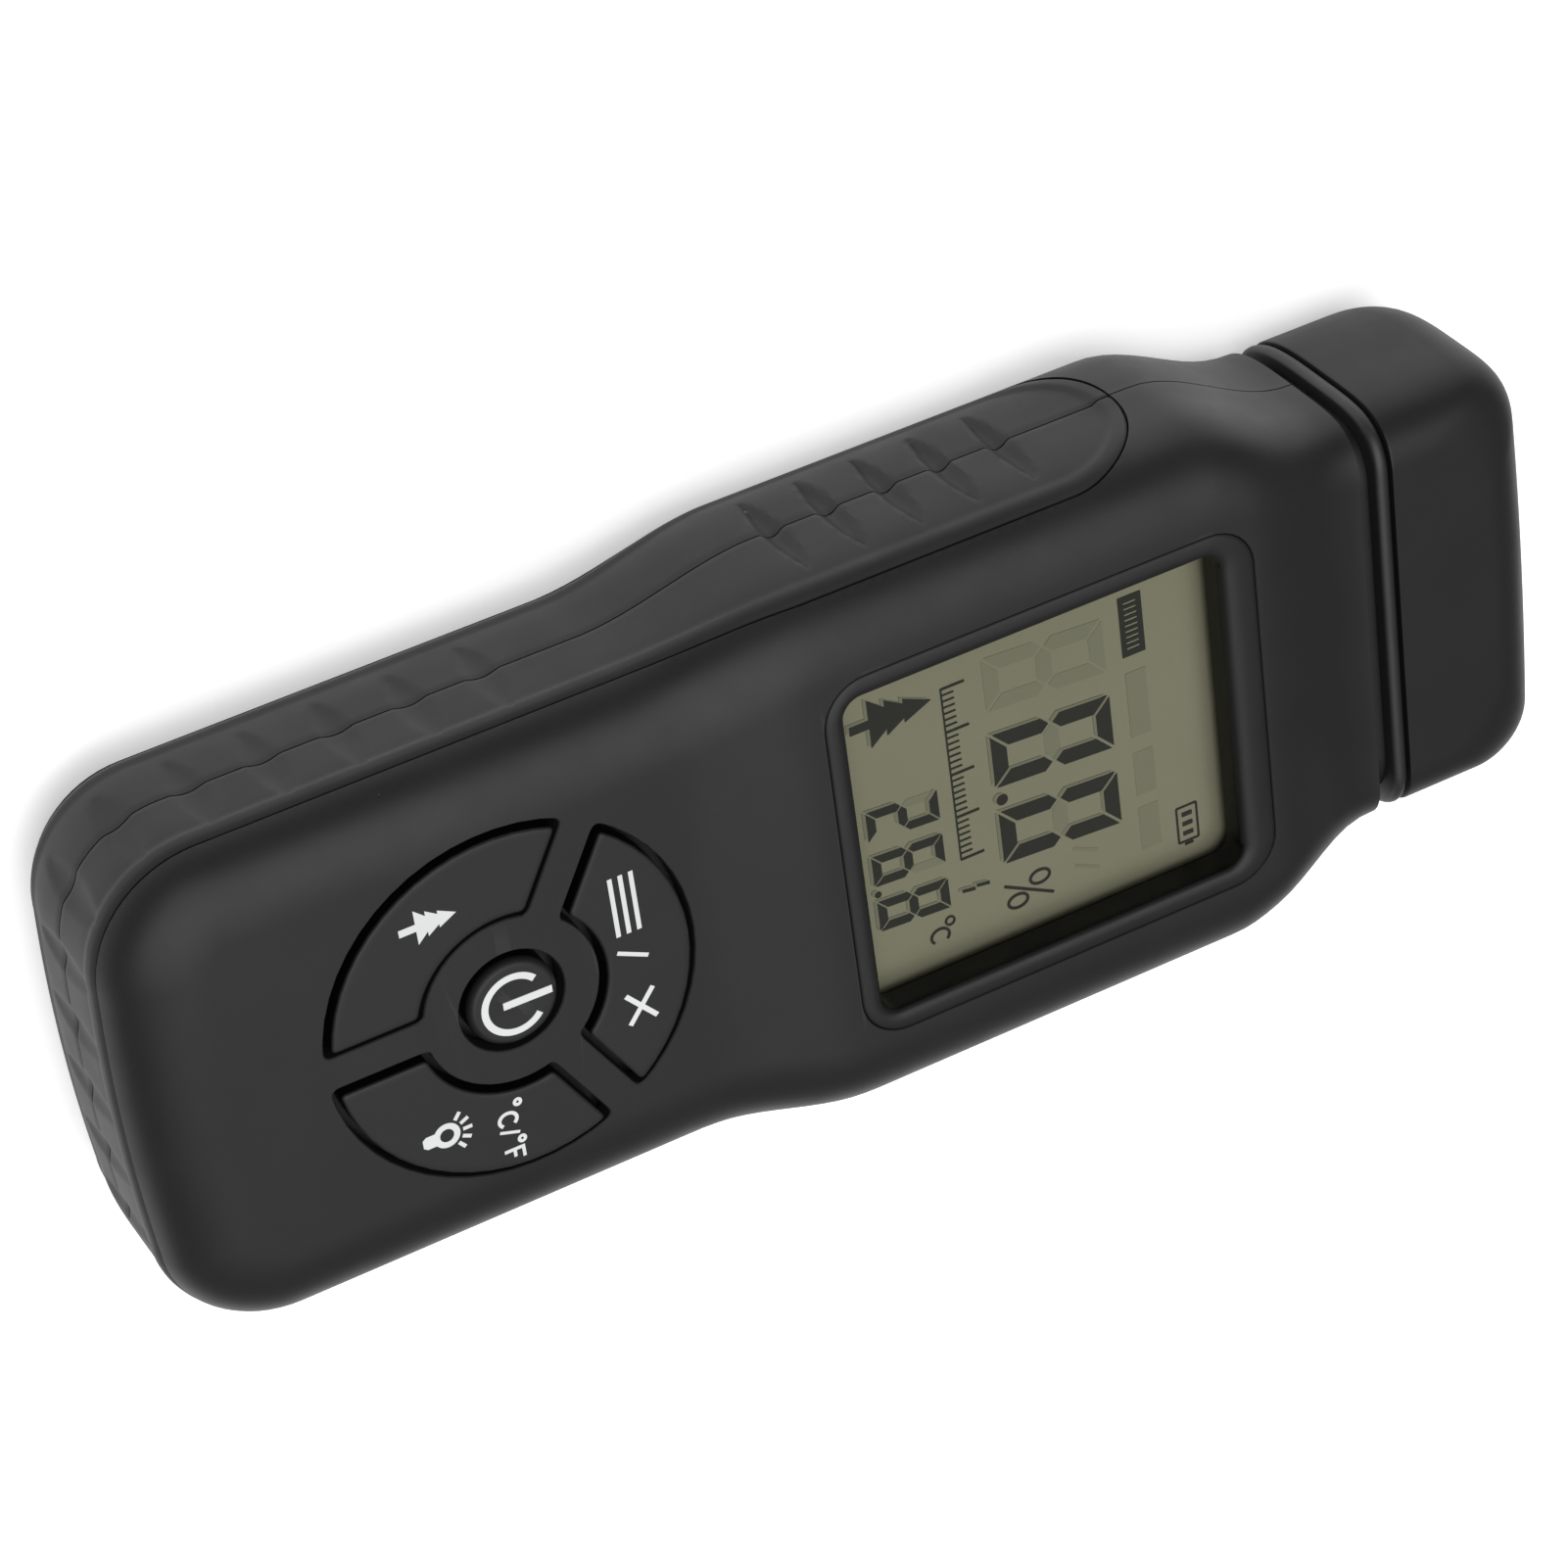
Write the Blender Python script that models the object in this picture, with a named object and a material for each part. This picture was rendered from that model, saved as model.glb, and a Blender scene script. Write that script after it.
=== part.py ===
"""Pin-type moisture meter, lying on its back.

Origin at the bottom centre of the bounding box, +Y towards the protective cap,
+Z out of the display face, +X to the right of a reader with the cap on top.
"""
import bmesh
import bpy
from math import asin, cos, degrees, pi, radians, sin, sqrt
from mathutils import Matrix, Vector

MM = 0.001
GAP = 0.3

# Driving dimensions, in millimetres.
HANDLE_END = -81.0
NECK_END = 59.4
CAP_END = 81.0
PARTING = 14.6
PARTING_GAP = 0.15

HANDLE_HALF = 28.5
HEAD_HALF = 31.8
NECK_HALF = 24.8
FLARE = (-23.0, -3.0)
SHOULDER = (40.5, 59.0)
CORNER_RADIUS = 13.0
END_BULGE = 0.6

HANDLE_FACE = 28.0
HEAD_FACE = 29.6
NECK_FACE = 27.0
FACE_RISE = (-20.0, -6.0)
FACE_FALL = (45.5, 58.0)

FRONT_EDGE = 9.5
REAR_EDGE = 9.5
NECK_FRONT_EDGE = 6.0
NECK_REAR_EDGE = 6.0
FRONT_POWER = 5.0
REAR_POWER = 3.3

SIDE_WALL = 3.4
FACE_WALL = 2.2

GRIP_THICKNESS = 1.2
GRIP_EDGE_FRONT = (23.2, 26.3)
GRIP_EDGE_REAR = (4.4, 2.8)
TONGUE_START = 26.8
TONGUE_END = 38.2

KEY_CENTRE_Y = -41.0
KEYPAD_RADIUS = 20.0
KEY_INNER_RADIUS = 9.5
KEY_RIB_HALF = 1.85
KEY_CLEARANCE = 0.6
KEY_FLANGE = 0.8
POWER_RADIUS = 5.7
KEY_TOP = 28.5
KEY_FLANGE_Z = (24.7, 25.5)
KEY_EDGE = 0.2
DOME_CIRCLE_GAP = 5.4
DOME_PROFILE = ((5.0, 0.0), (4.6, 0.5), (3.2, 1.2))
MAT_RADIUS = 22.6
MAT_THICKNESS = 0.5
SECTOR_ANGLES = {"key_mode": 90.0, "key_species": 210.0, "key_light": 330.0}
DOME_CIRCLE = 14.7

BEZEL_HALF = 21.6
BEZEL_Y = (-4.7, 44.6)
BEZEL_CORNER = 5.0
BEZEL_FLANGE = 1.3
DISPLAY_CORNER = 2.0
DISPLAY_HALF = 19.2
DISPLAY_Y = (-2.4, 40.8)
WINDOW_Z = (25.0, 25.8)
PANEL_Z = (22.5, 24.7)

MAIN_BOARD_Z = (17.0, 18.6)
KEYPAD_BOARD_Z = (21.3, 22.9)
SNAP_PLATE_END = -19.4

BATTERY_HALF = 13.25
BATTERY_Y = (-70.0, -23.6)
BATTERY_Z = (3.1, 19.9)
BAY_HALF = 13.75
BAY_WALL = 1.25
BAY_Y = (-75.1, -19.1)
BAY_ROOF = (20.2, 20.9)
DOOR_HALF = 14.2
DOOR_Y = (-72.5, -24.0)
DOOR_THICKNESS = 2.0
DOOR_TONGUE_HALF = 8.0
DOOR_TONGUE_Z = (2.5, 3.2)
DOOR_TONGUE_REACH = 2.3
PAD_Z = (2.3, 2.8)

SPIGOT_INSET = 1.9
SPIGOT_END = 67.5
RING_Y = (61.3, 62.9)
CAP_START = 63.2
CAP_WALL = 1.6
CAP_CORNER_RADIUS = (6.0, 8.5)
CAP_BULGE = 0.3
PIN_X = 11.0
PIN_Z = 14.0
PIN_RADIUS = 0.9
PIN_TIP = 78.6
SOCKET_RADIUS = 2.4
NOSE_FACE = 68.3
NOSE_HALF = 17.0
NOSE_Z = (6.0, 22.0)
NOSE_FLANGE_HALF = 18.9
NOSE_FLANGE_Z = (4.8, 22.9)

CASE_BOSS_FRONT = 3.2
CASE_BOSS_REAR = 3.6
CASE_SCREWS = ((-19.0, 49.0), (19.0, 49.0), (-19.5, -68.0), (19.5, -68.0))
KEYPAD_BOARD_SCREWS = ((-20.0, -61.5), (20.0, -61.5))
MAIN_BOARD_SCREWS = ((-24.9, -1.0), (24.9, -1.0), (-24.9, 36.0), (24.9, 36.0))

# Routes of the leads, as (y, z).
BATTERY_LEAD_ROUTE = ((-19.1, 12.0), (-16.8, 12.0), (-14.2, 13.1), (-11.6, 15.2), (-9.0, 16.1), (-6.5, 16.1))
PROBE_LEAD_ROUTE = ((55.7, 14.0), (53.2, 14.0), (50.5, 14.5), (47.6, 15.7), (44.6, 16.2), (41.5, 16.2))

# Height fractions at which the shells' rings are drawn, from the parting plane outwards.
SHELL_LEVELS = (0.0, 0.45, 0.66, 0.79, 0.89, 0.955, 0.988, 1.0)
CAVITY_LEVELS = (0.0, 0.6, 0.85, 0.96, 1.0)
SIDE_STATIONS = (-60, -42, -23, -19.5, -16, -13, -10, -6.5, -3, 10, 24, 39, 42, 45, 48, 51, 54, 58)
GRIP_STATIONS = (-60, -42, -23, -19.5, -16, -13, -10, -6.5, -3, 10, 26.8, 30.5, 33.5, 35.8, 37.3, 38.1)
ROUND_SEGMENTS = 20


# ---------------------------------------------------------------- shape rules

def ease(value, span):
    """Smooth step from 0 before the span to 1 after it."""
    u = min(1.0, max(0.0, (value - span[0]) / (span[1] - span[0])))
    return u * u * (3 - 2 * u)


def mix(low, high, share):
    return low + (high - low) * share


def half_width(y):
    return (HANDLE_HALF + (HEAD_HALF - HANDLE_HALF) * ease(y, FLARE)
            - (HEAD_HALF - NECK_HALF) * ease(y, SHOULDER))


def face_height(y):
    return (HANDLE_FACE + (HEAD_FACE - HANDLE_FACE) * ease(y, FACE_RISE)
            - (HEAD_FACE - NECK_FACE) * ease(y, FACE_FALL))


def edge_inset(y, t, side):
    """How far the side leans in at height fraction t, on the front (1) or rear (-1) half."""
    share = ease(y, SHOULDER)
    if side > 0:
        reach, power = mix(FRONT_EDGE, NECK_FRONT_EDGE, share), FRONT_POWER
    else:
        reach, power = mix(REAR_EDGE, NECK_REAR_EDGE, share), REAR_POWER
    return reach * (1 - sqrt(max(0.0, 1 - t ** power)))


def half_span(y, side):
    return face_height(y) - PARTING if side > 0 else PARTING


def with_normals(points):
    """(x, y, nx, ny) for a right-hand outline that starts on the centre line."""
    result = []
    last = len(points) - 1
    for i, (x, y) in enumerate(points):
        before = points[i - 1] if i else (-points[1][0], points[1][1])
        after = points[i + 1] if i < last else (x, y + (y - points[i - 1][1]))
        run = Vector((after[0] - before[0], after[1] - before[1])).normalized()
        result.append((x, y, run.y, -run.x))
    return result


def body_outline(stations):
    """Right half of the plan outline, from the handle's end up the side."""
    flat = HANDLE_HALF - CORNER_RADIUS
    centre_y = HANDLE_END + END_BULGE + CORNER_RADIUS
    points = [(x, HANDLE_END + END_BULGE * (x / flat) ** 2) for x in (0.0, flat / 2)]
    for step in range(6):
        angle = radians(-90 + 18 * step)
        points.append((flat + CORNER_RADIUS * cos(angle), centre_y + CORNER_RADIUS * sin(angle)))
    points += [(half_width(y), y) for y in stations]
    return with_normals(points)


def cap_outline(start, t, wall):
    """Right half of the cap's plan outline at height fraction t, from its closed end back to its rim."""
    lean = edge_inset(SHOULDER[1], abs(t), t)
    radius = mix(*CAP_CORNER_RADIUS, lean / NECK_FRONT_EDGE)
    half = NECK_HALF - lean - wall
    flat = half - radius
    end = CAP_END - lean - wall
    centre_y = end - CAP_BULGE - radius
    points = [(x, end - CAP_BULGE * (x / flat) ** 2) for x in (0.0, flat / 2)]
    for step in range(6):
        angle = radians(90 - 18 * step)
        points.append((flat + radius * cos(angle), centre_y + radius * sin(angle)))
    return points + [(half, start)]


# ---------------------------------------------------------------- mesh helpers

def scaled(x, y, z):
    return (x * MM, y * MM, z * MM)


def finish(name, bm, material=None, smooth=False):
    bmesh.ops.recalc_face_normals(bm, faces=bm.faces)
    mesh = bpy.data.meshes.new(name)
    bm.to_mesh(mesh)
    bm.free()
    obj = bpy.data.objects.new(name, mesh)
    bpy.context.collection.objects.link(obj)
    if material:
        mesh.materials.append(material)
    if smooth:
        mesh.shade_smooth()
        mesh.set_sharp_from_angle(angle=radians(35))
    return obj


def skin(rings):
    """Tube through rings of equal length, with both ends left open."""
    bm = bmesh.new()
    loops = [[bm.verts.new(scaled(*point)) for point in ring] for ring in rings]
    count = len(loops[0])
    for low, high in zip(loops, loops[1:]):
        for i in range(count):
            j = (i + 1) % count
            bm.faces.new((low[i], low[j], high[j], high[i]))
    return bm, loops


def rungs(bm, loop):
    """Close a ring that is symmetric about X with strips across it."""
    right = loop[len(loop) // 2:]
    left = loop[len(loop) // 2::-1]
    bm.faces.new((right[0], right[1], left[1]))
    for i in range(1, len(right) - 1):
        bm.faces.new((right[i], right[i + 1], left[i + 1], left[i]))


def mirrored(half):
    """Whole ring from its right half, whose first point is on the centre line."""
    left = [(-x, y, z) for x, y, z in half[:0:-1]]
    return left + half


def contour_stack(name, outline, levels, inset, height, material=None):
    """Solid built from copies of a plan outline, each drawn in by inset and set at height."""
    rings = []
    for t in levels:
        half = []
        for x, y, nx, ny in outline:
            depth = inset(y, t)
            drawn_x = 0.0 if x == 0 else x - nx * depth
            drawn_y = y - ny * depth
            half.append((drawn_x, drawn_y, height(drawn_y, t)))
        rings.append(mirrored(half))
    bm, loops = skin(rings)
    rungs(bm, loops[0])
    rungs(bm, loops[-1])
    return finish(name, bm, material)


def prism(name, outline, z_low, z_high, material=None):
    bm, loops = skin([[(x, y, z) for x, y in outline] for z in (z_low, z_high)])
    bm.faces.new(loops[0])
    bm.faces.new(loops[1])
    return finish(name, bm, material)


def rectangle(x_low, y_low, x_high, y_high):
    return [(x_low, y_low), (x_high, y_low), (x_high, y_high), (x_low, y_high)]


def rounded_rectangle(half, y_low, y_high, radius, steps=4):
    corners = ((half - radius, y_low + radius, -90), (half - radius, y_high - radius, 0),
               (radius - half, y_high - radius, 90), (radius - half, y_low + radius, 180))
    points = []
    for cx, cy, start in corners:
        for step in range(steps + 1):
            angle = radians(start + 90 * step / steps)
            points.append((cx + radius * cos(angle), cy + radius * sin(angle)))
    return points


def box(name, x, y, z, material=None):
    return prism(name, rectangle(x[0], y[0], x[1], y[1]), z[0], z[1], material)


def turned(name, profile, centre, axis="Z", segments=ROUND_SEGMENTS, material=None):
    """Solid of revolution from (radius, distance along the axis) pairs, at centre."""
    cx, cy, cz = centre
    rings = []
    for radius, along in profile:
        ring = []
        for i in range(segments):
            a = radius * cos(2 * pi * i / segments)
            b = radius * sin(2 * pi * i / segments)
            ring.append((cx + a, cy + b, cz + along) if axis == "Z" else (cx + a, cy + along, cz + b))
        rings.append(ring)
    bm, loops = skin(rings)
    bm.faces.new(loops[0])
    bm.faces.new(loops[-1])
    return finish(name, bm, material, smooth=True)


def boolean(target, other, operation):
    """Apply a Boolean with another object, which is used up."""
    modifier = target.modifiers.new("cut", "BOOLEAN")
    modifier.operation = operation
    modifier.object = other
    graph = bpy.context.evaluated_depsgraph_get()
    mesh = bpy.data.meshes.new_from_object(target.evaluated_get(graph), depsgraph=graph)
    target.modifiers.clear()
    target.data = mesh
    bpy.data.objects.remove(other)
    return target


def cut(target, *others):
    for other in others:
        boolean(target, other, "DIFFERENCE")
    return target


def add(target, *others):
    for other in others:
        boolean(target, other, "UNION")
    return target


def clean(obj, material, smooth=True):
    """Give a cut object its material and drop the scraps of edge that a cut leaves."""
    bm = bmesh.new()
    bm.from_mesh(obj.data)
    bmesh.ops.dissolve_degenerate(bm, edges=bm.edges, dist=0.00001)
    bm.to_mesh(obj.data)
    bm.free()
    obj.data.materials.clear()
    obj.data.materials.append(material)
    if smooth:
        obj.data.shade_smooth()
        obj.data.set_sharp_from_angle(angle=radians(35))
    return obj


def place_on_axis(obj, centre, z=0.0):
    """Move an object's origin to a point, leaving its shape where it is."""
    origin = Vector(scaled(*centre, z))
    obj.data.transform(Matrix.Translation(-origin))
    obj.location = origin
    return obj


def paint(name, colour, roughness, metallic=0.0, alpha=1.0):
    material = bpy.data.materials.new(name)
    material.use_nodes = True
    shader = material.node_tree.nodes["Principled BSDF"]
    shader.inputs["Base Color"].default_value = (*colour, 1.0)
    shader.inputs["Roughness"].default_value = roughness
    shader.inputs["Metallic"].default_value = metallic
    shader.inputs["Alpha"].default_value = alpha
    material.diffuse_color = (*colour, alpha)
    return material


# ---------------------------------------------------------------- casing

def spigot_drop(y):
    """How far the spigot that carries the cap lies below the neck's surface."""
    return SPIGOT_INSET if y > NECK_END else 0.0


def shell_half(name, side):
    """Outer half of the case with its spigot, still solid."""
    def inset(y, t):
        return edge_inset(y, t, side)

    def height(y, t):
        return PARTING + side * (PARTING_GAP + t * (half_span(y, side) - PARTING_GAP - spigot_drop(y)))

    step = 0.002
    spigot_half = NECK_HALF - SPIGOT_INSET
    spigot = [(spigot_half, NECK_END + step, 1.0, 0.0), (spigot_half, SPIGOT_END, 1.0, 0.0)]
    outline = body_outline(SIDE_STATIONS + (NECK_END,)) + spigot
    return contour_stack(name, outline, SHELL_LEVELS, inset, height)


def cavity(side):
    """Hollow of one half; it runs past the parting plane."""
    overrun = 1.0

    def inset(y, t):
        return SIDE_WALL + 0.6 * edge_inset(y, t, side)

    def height(y, t):
        return PARTING - side * overrun + side * t * (half_span(y, side) - FACE_WALL + overrun)

    stations = [y for y in SIDE_STATIONS if y < 54] + [NECK_END - FACE_WALL]
    return contour_stack("cavity", body_outline(stations), CAVITY_LEVELS, inset, height)


def nose_chamber():
    half = NOSE_FLANGE_HALF + 1.1
    z = (NOSE_FLANGE_Z[0] - 0.4, NOSE_FLANGE_Z[1] + GAP)
    return box("chamber", (-half, half), (54, SPIGOT_END - CAP_WALL), z)


def nose_opening():
    half = NOSE_HALF + GAP
    return box("nose_opening", (-half, half), (SPIGOT_END - 4, SPIGOT_END + 2), (NOSE_Z[0] - GAP, NOSE_Z[1] + GAP))


def ribbon(name, side, depth, stations, rise=0.0, drop=0.0, material=None):
    """Band round the handle and sides, between two depths below the case's surface.

    It runs from the parting plane to the grip's edge; rise and drop widen it past both.
    """
    edges = GRIP_EDGE_FRONT if side > 0 else GRIP_EDGE_REAR
    rings = []
    outline = body_outline(stations)
    whole = [(-x, y, -nx, ny) for x, y, nx, ny in outline[:0:-1]] + outline
    for x, y, nx, ny in whole:
        edge = abs(mix(edges[0], edges[1], ease(y, FLARE)) - PARTING)
        if y > TONGUE_START:
            edge *= sqrt(max(0.0, 1 - ((y - TONGUE_START) / (TONGUE_END - TONGUE_START)) ** 2))
        near = PARTING_GAP - drop
        heights = [mix(near, edge + rise, share) for share in (0.0, 0.45, 0.8, 1.0)]
        surface = [(h, edge_inset(y, min(0.99, max(0.0, h) / half_span(y, side)), side)) for h in heights]
        outer = [(x - nx * (d + depth[0]), y - ny * (d + depth[0]), PARTING + side * h) for h, d in surface]
        inner = [(x - nx * (d + depth[1]), y - ny * (d + depth[1]), PARTING + side * h) for h, d in surface]
        rings.append(outer + inner[::-1])
    bm, loops = skin(rings)
    bm.faces.new(loops[0])
    bm.faces.new(loops[-1])
    return finish(name, bm, material, smooth=bool(material))


def grip(name, side, material):
    return ribbon(name, side, (0.0, GRIP_THICKNESS), GRIP_STATIONS, material=material)


def grip_recess(side):
    stations = GRIP_STATIONS[:-1] + (GRIP_STATIONS[-1] + GAP,)
    return ribbon("recess", side, (-2.0, GRIP_THICKNESS + GAP), stations, rise=GAP, drop=1.0)


def sector_outline(angle, outer, inner, rib_half):
    """Outline of one keypad sector, between two radii and clear of the ribs beside it."""
    points = []
    for radius, direction in ((outer, 1), (inner, -1)):
        reach = 60 - degrees(asin(rib_half / radius))
        for step in range(9):
            share = -1 + step / 4
            turn = radians(angle + direction * share * reach)
            points.append((radius * cos(turn), KEY_CENTRE_Y + radius * sin(turn)))
    return points


def keypad_openings():
    low, high = HANDLE_FACE - 4, HANDLE_FACE + 3
    openings = [prism("opening", sector_outline(angle, KEYPAD_RADIUS, KEY_INNER_RADIUS, KEY_RIB_HALF), low, high)
                for angle in SECTOR_ANGLES.values()]
    openings.append(turned("opening", [(POWER_RADIUS, low), (POWER_RADIUS, high)], (0, KEY_CENTRE_Y, 0), segments=28))
    return openings


def post(position, radius, z_low, z_high):
    x, y = position
    return turned("post", [(radius, z_low), (radius, z_high)], (x, y, 0), segments=14)


def roof_height(y):
    return face_height(y) - FACE_WALL


def build_front_shell(material):
    shell = shell_half("front_shell", 1)
    cut(shell, cavity(1), nose_chamber(), nose_opening(), grip_recess(1))
    for position in CASE_SCREWS:
        add(shell, post(position, CASE_BOSS_FRONT, PARTING + PARTING_GAP, roof_height(position[1]) + 0.9))
        cut(shell, post(position, 1.5, PARTING - 1, PARTING + 7))
    for position in KEYPAD_BOARD_SCREWS:
        add(shell, post(position, 2.2, KEYPAD_BOARD_Z[1] + GAP, roof_height(position[1]) + 0.9))
        cut(shell, post(position, 1.2, KEYPAD_BOARD_Z[1], KEYPAD_BOARD_Z[1] + 2.4))
    for position in MAIN_BOARD_SCREWS:
        add(shell, post(position, 2.0, MAIN_BOARD_Z[1] + GAP, roof_height(position[1]) + 0.9))
        cut(shell, post(position, 1.2, MAIN_BOARD_Z[1], MAIN_BOARD_Z[1] + 5))
    cut(shell, *keypad_openings())
    hole = rounded_rectangle(BEZEL_HALF + GAP, BEZEL_Y[0] - GAP, BEZEL_Y[1] + GAP, BEZEL_CORNER + GAP)
    cut(shell, prism("hole", hole, HEAD_FACE - 6, HEAD_FACE + 2))
    return clean(shell, material)


def build_rear_shell(material):
    shell = shell_half("rear_shell", -1)
    cut(shell, cavity(-1), nose_chamber(), nose_opening(), grip_recess(-1))
    outer = BAY_HALF + BAY_WALL
    add(shell, box("bay", (-outer, outer), (BAY_Y[0] - 0.8, BAY_Y[1] + 1.1), (1.5, BAY_ROOF[1])))
    cut(shell, box("bay_inside", (-BAY_HALF, BAY_HALF), BAY_Y, (FACE_WALL, BAY_ROOF[0])))
    cut(shell, box("door_opening", (-DOOR_HALF - GAP, DOOR_HALF + GAP),
                   (DOOR_Y[0] - GAP, DOOR_Y[1] + GAP), (-1, FACE_WALL + 0.5)))
    cut(shell, box("lead_slot", (-5, 5), (BAY_Y[1] - 1, BAY_Y[1] + 2), (10.2, 13.8)))
    for position in CASE_SCREWS:
        add(shell, post(position, CASE_BOSS_REAR, 1.5, PARTING - PARTING_GAP))
        cut(shell, post(position, 2.6, -1, 6), post(position, 1.5, 5, PARTING + 1))
    return clean(shell, material)


def cap_stack(name, start, wall=0.0):
    """The cap's outer shape in one solid, drawn in by a wall's thickness."""
    rings = []
    for t in [-t for t in SHELL_LEVELS[:0:-1]] + list(SHELL_LEVELS):
        z = PARTING + t * (half_span(SHOULDER[1], t) - wall)
        rings.append(mirrored([(x, y, z) for x, y in cap_outline(start, t, wall)]))
    bm, loops = skin(rings)
    rungs(bm, loops[0])
    rungs(bm, loops[-1])
    return finish(name, bm)


def build_cap(material):
    cap = cap_stack("protective_cap", CAP_START)
    cut(cap, cap_stack("cap_hollow", CAP_START - 3, CAP_WALL))
    clean(cap, material)
    return place_on_axis(cap, (0, CAP_START), PARTING)


def neck_loop(inset, y):
    """Ring of points round the neck's section at one y, drawn in by inset."""
    signed = [-t for t in SHELL_LEVELS[:0:-1]] + list(SHELL_LEVELS)
    right = [(NECK_HALF - inset - edge_inset(SHOULDER[1], abs(t), t), y,
              PARTING + t * (half_span(SHOULDER[1], t) - inset)) for t in signed]
    return right + [(-x, y, z) for x, y, z in right[::-1]]


def build_ring(material):
    """Gasket round the spigot, with a rounded bead that comes flush with the neck."""
    low, high = RING_Y
    inner = SPIGOT_INSET - GAP
    profile = ((inner, low), (0.3, low), (0.05, (low + high) / 2), (0.3, high), (inner, high))
    loops = [neck_loop(inset, y) for inset, y in profile]
    bm, verts = skin(loops)
    count = len(verts[0])
    for i in range(count):
        j = (i + 1) % count
        bm.faces.new((verts[-1][i], verts[-1][j], verts[0][j], verts[0][i]))
    return finish("collar_ring", bm, material, smooth=True)


# ---------------------------------------------------------------- display

def build_bezel(material):
    low, high = BEZEL_Y
    bezel = prism("lcd_bezel", rounded_rectangle(BEZEL_HALF, low, high, BEZEL_CORNER), 26.6, HEAD_FACE)
    flange = rounded_rectangle(BEZEL_HALF + BEZEL_FLANGE, low - BEZEL_FLANGE, high + BEZEL_FLANGE,
                               BEZEL_CORNER + BEZEL_FLANGE)
    add(bezel, prism("flange", flange, 26.1, 27.1))
    opening = rounded_rectangle(DISPLAY_HALF, DISPLAY_Y[0], DISPLAY_Y[1], DISPLAY_CORNER)
    return clean(cut(bezel, prism("opening", opening, 25, HEAD_FACE + 1)), material)


def build_display(paints):
    box("lcd_window", (-20.6, 20.6), (-4.2, 42.6), WINDOW_Z, paints["window"])
    box("lcd_panel", (-20.4, 20.4), (-4.0, 42.4), PANEL_Z, paints["lcd"])
    box("backlight_guide", (-20.3, 20.3), (-0.9, 39.2), (19.8, 22.2), paints["diffuser"])
    holder = prism("lcd_holder", rounded_rectangle(22.3, -5.9, 44.3, 1.5), MAIN_BOARD_Z[1] + GAP, WINDOW_Z[1])
    cut(holder, box("holder_inside", (-20.9, 20.9), (-4.5, 42.9), (18, 27)))
    clean(holder, paints["holder"])
    for name, low in (("zebra_strip_lower", -3.6), ("zebra_strip_upper", 39.5)):
        box(name, (-19, 19), (low, low + 2.4), (MAIN_BOARD_Z[1] + GAP, PANEL_Z[0] - GAP), paints["zebra"])
    for side, x in (("left", -9), ("right", 9)):
        z = (MAIN_BOARD_Z[1] + GAP, 19.5)
        box(f"backlight_led_{side}", (x - 1.75, x + 1.75), (2, 4.8), z, paints["led"])


# ---------------------------------------------------------------- boards

def board_outline(steps):
    """Symmetric outline from (half width, y) steps, from the low end up."""
    right = list(steps)
    return right + [(-x, y) for x, y in reversed(right)]


def drilled_board(name, outline, z, holes, material):
    board = prism(name, outline, *z)
    for position in holes:
        cut(board, post(position, 1.4, z[0] - 1, z[1] + 1))
    return clean(board, material)


def build_boards(paints):
    main_steps = ((22, BAY_Y[1] + 1.4), (22, -5), (27, -5), (27, 40.5), (20, 40.5), (20, 44.5))
    drilled_board("main_board", board_outline(main_steps), MAIN_BOARD_Z, MAIN_BOARD_SCREWS, paints["board"])
    keypad_steps = ((22.5, -64), (22.5, -14.2))
    drilled_board("keypad_board", board_outline(keypad_steps), KEYPAD_BOARD_Z, KEYPAD_BOARD_SCREWS, paints["board"])
    box("board_header", (-8, 8), (-17.4, -14.8), (MAIN_BOARD_Z[1] + GAP, KEYPAD_BOARD_Z[0] - GAP), paints["chip"])
    under = MAIN_BOARD_Z[0] - GAP
    box("microcontroller", (5, 15), (9, 19), (under - 1.5, under), paints["chip"])
    box("display_driver", (-14, -7), (16, 23), (under - 1.2, under), paints["chip"])
    box("crystal", (8, 19), (24, 27.8), (under - 3.5, under), paints["can"])
    box("temperature_sensor", (15, 18), (36, 38), (under - 1.6, under), paints["chip"])
    turned("buzzer", [(6, under - 6.3), (6, under - 0.6), (5.2, under)], (-13.5, -6.5, 0), material=paints["buzzer"])
    for name, y in (("capacitor_input", -9), ("capacitor_output", -2)):
        turned(name, [(2.5, under - 7), (2.5, under)], (14, y, 0), segments=14, material=paints["capacitor"])


# ---------------------------------------------------------------- keypad

def sector_key(name, angle, material):
    def outline(grow):
        return sector_outline(angle, KEYPAD_RADIUS + grow, KEY_INNER_RADIUS - grow, KEY_RIB_HALF - grow)

    flange = outline(KEY_FLANGE)
    body = outline(-KEY_CLEARANCE)
    top = outline(-KEY_CLEARANCE - KEY_EDGE)
    low, high = KEY_FLANGE_Z
    layers = ((flange, low), (flange, high), (body, high), (body, KEY_TOP - KEY_EDGE), (top, KEY_TOP))
    bm, loops = skin([[(x, y, z) for x, y in points] for points, z in layers])
    bm.faces.new(loops[0])
    bm.faces.new(loops[-1])
    return finish(name, bm, material)


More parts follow.
